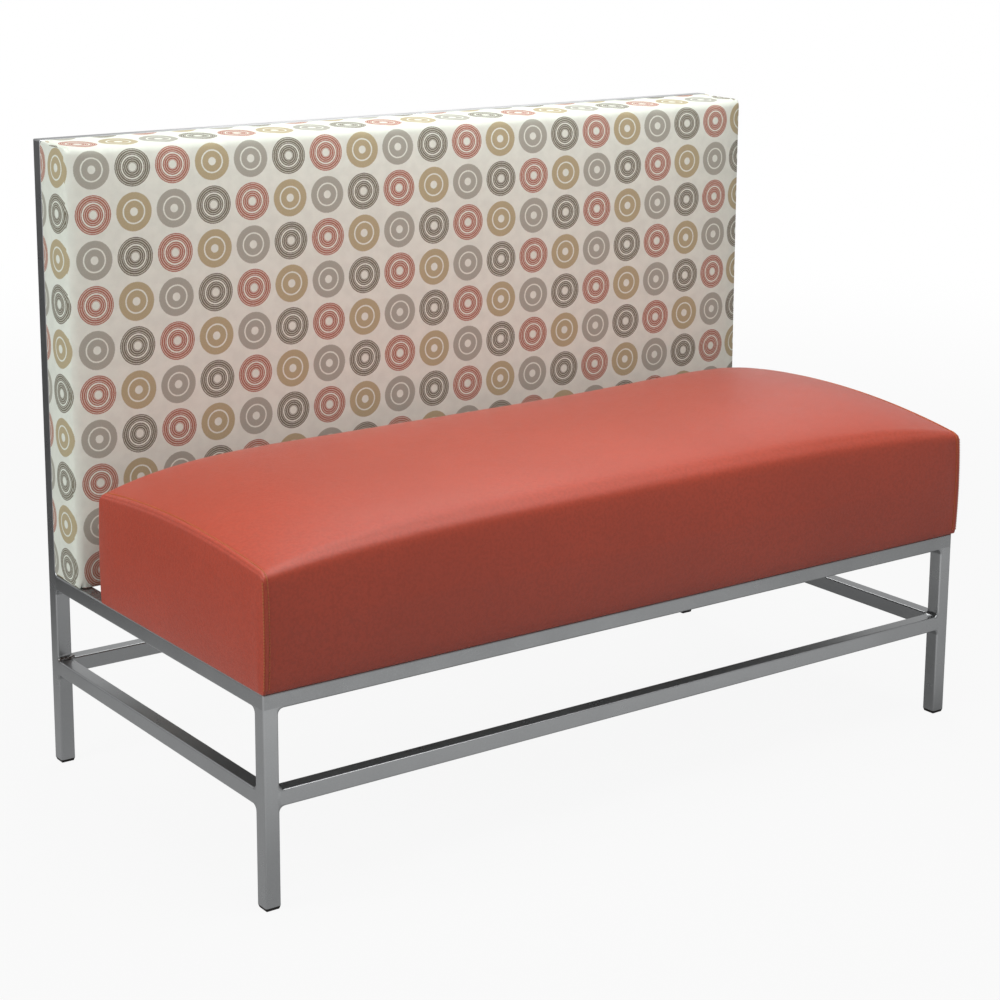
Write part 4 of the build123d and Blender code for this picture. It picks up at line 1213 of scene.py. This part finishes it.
class BENCH_OT_joint_welds(bpy.types.Operator):
    """Fill the frame's joints: flush on the faces, hollow in the inner corners, beaded over the stretchers"""
    bl_idname = "bench.joint_welds"
    bl_label = "Joint welds"

    def execute(self, context):
        finishes = context.scene.bench_finishes
        form = bmesh.new()
        planes = {
            (0, -1): tube - bench_half, (0, 1): bench_half - tube, (1, -1): leg_high.y, (1, 1): post_low.y,
            (2, 1): rail_low.z}
        for name, axis, ends, sides in joints:
            low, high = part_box(name)
            for end in ends:
                plane = planes[axis, end]
                self.flush_band(form, low, high, axis, plane, end)
                for side_axis, side in sides:
                    self.fillet(form, low, high, axis, plane, end, side_axis, side)
        beads_from = len(form.faces)
        for name, axis, end in beaded_joints:
            low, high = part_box(name)
            self.beads(form, low, high, axis, planes[axis, end], end)
        bmesh.ops.recalc_face_normals(form, faces=form.faces)
        data = bpy.data.meshes.new("joint_welds")
        form.to_mesh(data)
        form.free()
        welds = bpy.data.objects.new("joint_welds", data)
        bpy.context.collection.objects.link(welds)
        only(welds)
        bpy.ops.object.shade_smooth_by_angle(angle=math.radians(40))
        dress(welds, bpy.data.materials["bench_powder_coated_steel"])
        welds.data.materials.append(powder_coat_material(finishes, "scorched_welds", scorched=True))
        for polygon in welds.data.polygons[beads_from:]:
            polygon.material_index = 1
        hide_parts("weld_beads")
        return {"FINISHED"}

    def flush_band(self, form, low, high, axis, plane, end):
        """A tube's outline carried on over the rounded edge of the tube that it meets."""
        first, second = (other for other in (0, 1, 2) if other != axis)
        outline = []
        for quarter, (a, b) in enumerate(((high, high), (low, high), (low, low), (high, low))):
            inwards = [-1 if corner is high else 1 for corner in (a, b)]
            for turn in np.linspace(0, math.pi / 2, 5) + quarter * math.pi / 2:
                outline.append((
                    a[first] + inwards[0] * tube_round + math.cos(turn) * (tube_round + weld_rise),
                    b[second] + inwards[1] * tube_round + math.sin(turn) * (tube_round + weld_rise)))
        rings = []
        for place in (plane - end * 0.001, plane + end * (tube_round - weld_overlap)):
            ring = np.empty((len(outline), 3))
            ring[:, axis] = place
            ring[:, (first, second)] = outline
            rings.append(ring)
        skin(form, rings)

    def fillet(self, form, low, high, axis, plane, end, side_axis, side):
        """A hollow fillet across a joint's inner corner, with its edges rounded like the tubes'."""
        across = 3 - axis - side_axis
        face = high[side_axis] if side > 0 else low[side_axis]
        width = high[across] - low[across]
        insets = tube_round * np.array([0, 0.08, 0.25, 0.5, 1.0])
        turns = np.linspace(1.5 * math.pi, math.pi, 9)
        rings = []
        for inset, place in [*zip(insets, insets), *zip(insets[::-1], width - insets[::-1])]:
            sunk = tube_round - math.sqrt(tube_round ** 2 - (tube_round - inset) ** 2)
            reach = weld_radius + sunk
            inner = -tube_round - weld_overlap
            profile = [(inner, inner), (weld_radius, inner)]
            profile += [(weld_radius + reach * math.cos(t), weld_radius + reach * math.sin(t)) for t in turns]
            profile.append((inner, weld_radius))
            ring = np.empty((len(profile), 3))
            ring[:, axis] = [plane - end * u for u, v in profile]
            ring[:, side_axis] = [face + side * v for u, v in profile]
            ring[:, across] = low[across] + place + (weld_rise if place > width / 2 else -weld_rise)
            rings.append(ring)
        skin(form, rings)

    def beads(self, form, low, high, axis, plane, end):
        """A row of overlapping beads on the fillet over a stretcher's end."""
        chance = random.Random(f"{plane:.3f}{axis}")
        across = 1 - axis
        for step in range(bead_count):
            place = [0, 0, high.z + bead_rise + chance.uniform(0, bead_rise_spread)]
            place[across] = low[across] + (high[across] - low[across]) * (step + 1.2) / (bead_count + 1.4)
            place[axis] = plane - end * (bead_rise + chance.uniform(0, bead_rise_spread))
            bmesh.ops.create_icosphere(
                form, subdivisions=3, radius=bead_radius + chance.uniform(0, bead_radius_spread),
                matrix=Matrix.Translation(place))


class BENCH_OT_hard_finishes(bpy.types.Operator):
    """Finish the frame, the foot glides, the boards and the fixings"""
    bl_idname = "bench.hard_finishes"
    bl_label = "Hard finishes"

    def execute(self, context):
        finishes = context.scene.bench_finishes
        coats = (
            (tube_nodes, powder_coat_material(finishes)), (glide_nodes, glide_material(finishes)),
            (board_nodes, plywood_material()), (fixing_nodes, zinc_material()),
            (["seat_foam", "back_foam"], foam_material()))
        for names, material in coats:
            for name in names:
                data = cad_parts[name].data
                for place in range(max(1, len(data.materials))):
                    if data.materials:
                        data.materials[place] = material
                    else:
                        data.materials.append(material)
        return {"FINISHED"}


class BENCH_OT_stage(bpy.types.Operator):
    """Lay the floor, hang the soft lights and set the camera"""
    bl_idname = "bench.stage"
    bl_label = "Stage"

    def execute(self, context):
        stage = context.scene.bench_stage
        bpy.ops.object.select_all(action="DESELECT")
        bpy.ops.mesh.primitive_plane_add(size=stage.floor_size, location=(0, 0, -0.0002))
        floor = context.object
        floor.name = "floor"
        floor.data.materials.append(floor_material())
        self.light("overhead_light", (0.1, -0.46, 1.95), (0.05, -0.02, 0.45), 1.6, 25.5)
        self.light("left_light", (-2.6, 0.0, 1.5), (-0.5, 0.0, 0.4), 1.2, 27)
        self.light("back_light", (1.15, 1.75, 2.2), (-0.1, -0.15, 0.45), 1.4, 19)
        self.world(context)
        self.camera(context, stage)
        context.scene.view_settings.view_transform = "Standard"
        return {"FINISHED"}

    def light(self, name, place, target, size, power):
        """A square soft light aimed at a target."""
        data = bpy.data.lights.new(name, "AREA")
        data.size = size
        data.energy = power
        lamp = bpy.data.objects.new(name, data)
        lamp.location = place
        lamp.rotation_euler = (Vector(target) - Vector(place)).to_track_quat("-Z", "Y").to_euler()
        lamp.visible_camera = False
        bpy.context.collection.objects.link(lamp)

    def world(self, context):
        """White to the camera, to gloss and to glass, and a plain soft light to all else."""
        recipe = Recipe(bpy.data.worlds.new("studio"), "ShaderNodeBackground", "ShaderNodeOutputWorld")
        context.scene.world = recipe.finish(Color=(1, 1, 1, 1), Strength=0.2)
        camera, mirrored = recipe.rays()
        seen = recipe.maths("MAXIMUM", camera, mirrored * 0.4)
        white = recipe.node("ShaderNodeBackground", None, {"Color": (1, 1, 1, 1), "Strength": 1.0})
        plain = Wire(recipe, recipe.surface.outputs[0])
        recipe.show(recipe.node("ShaderNodeMixShader", None, {0: seen, 1: plain, 2: white}).socket)

    def camera(self, context, stage):
        """The camera at the photograph's angle, with the lens shifted to its framing."""
        data = bpy.data.cameras.new("camera")
        data.sensor_width = 36
        data.lens = stage.camera_lens
        data.shift_x, data.shift_y = stage.camera_shift
        data.clip_start, data.clip_end = 0.05, 100
        camera = bpy.data.objects.new("camera", data)
        camera.location = stage.camera_place
        azimuth, elevation = stage.camera_azimuth, stage.camera_elevation
        behind = Vector((
            math.sin(azimuth) * math.cos(elevation), -math.cos(azimuth) * math.cos(elevation),
            math.sin(elevation)))
        camera.rotation_euler = (-behind).to_track_quat("-Z", "Y").to_euler()
        context.collection.objects.link(camera)
        context.scene.camera = camera


class BENCH_PT_panel(bpy.types.Panel):
    """The bench's steps and settings"""
    bl_idname = "BENCH_PT_panel"
    bl_label = "Booth Bench"
    bl_space_type = "VIEW_3D"
    bl_region_type = "UI"
    bl_category = "Booth Bench"

    def draw(self, context):
        for step in steps:
            self.layout.operator(step.bl_idname)
        for name in groups:
            box = self.layout.box()
            settings = getattr(context.scene, name)
            for key in settings.__annotations__:
                box.prop(settings, key)


steps = [
    BENCH_OT_stage, BENCH_OT_hard_finishes, BENCH_OT_joint_welds, BENCH_OT_seat_cushion,
    BENCH_OT_seat_stitching, BENCH_OT_back_pad, BENCH_OT_outer_back, BENCH_OT_dust_cloth]
groups = {
    "bench_seat": BenchSeatSizes, "bench_back": BenchBackSizes, "bench_finishes": BenchFinishes,
    "bench_stage": BenchStageSizes}


def register():
    """Register the settings, the operators and the panel."""
    for name, group in groups.items():
        bpy.utils.register_class(group)
        setattr(bpy.types.Scene, name, PointerProperty(type=group))
    for step in [*steps, BENCH_PT_panel]:
        bpy.utils.register_class(step)


def unregister():
    """Take everything out again."""
    for step in [BENCH_PT_panel, *reversed(steps)]:
        bpy.utils.unregister_class(step)
    for name, group in groups.items():
        delattr(bpy.types.Scene, name)
        bpy.utils.unregister_class(group)


def main():
    """Run every step in order."""
    register()
    for step in steps:
        area, name = step.bl_idname.split(".")
        getattr(getattr(bpy.ops, area), name)()


if __name__ == "__main__":
    main()
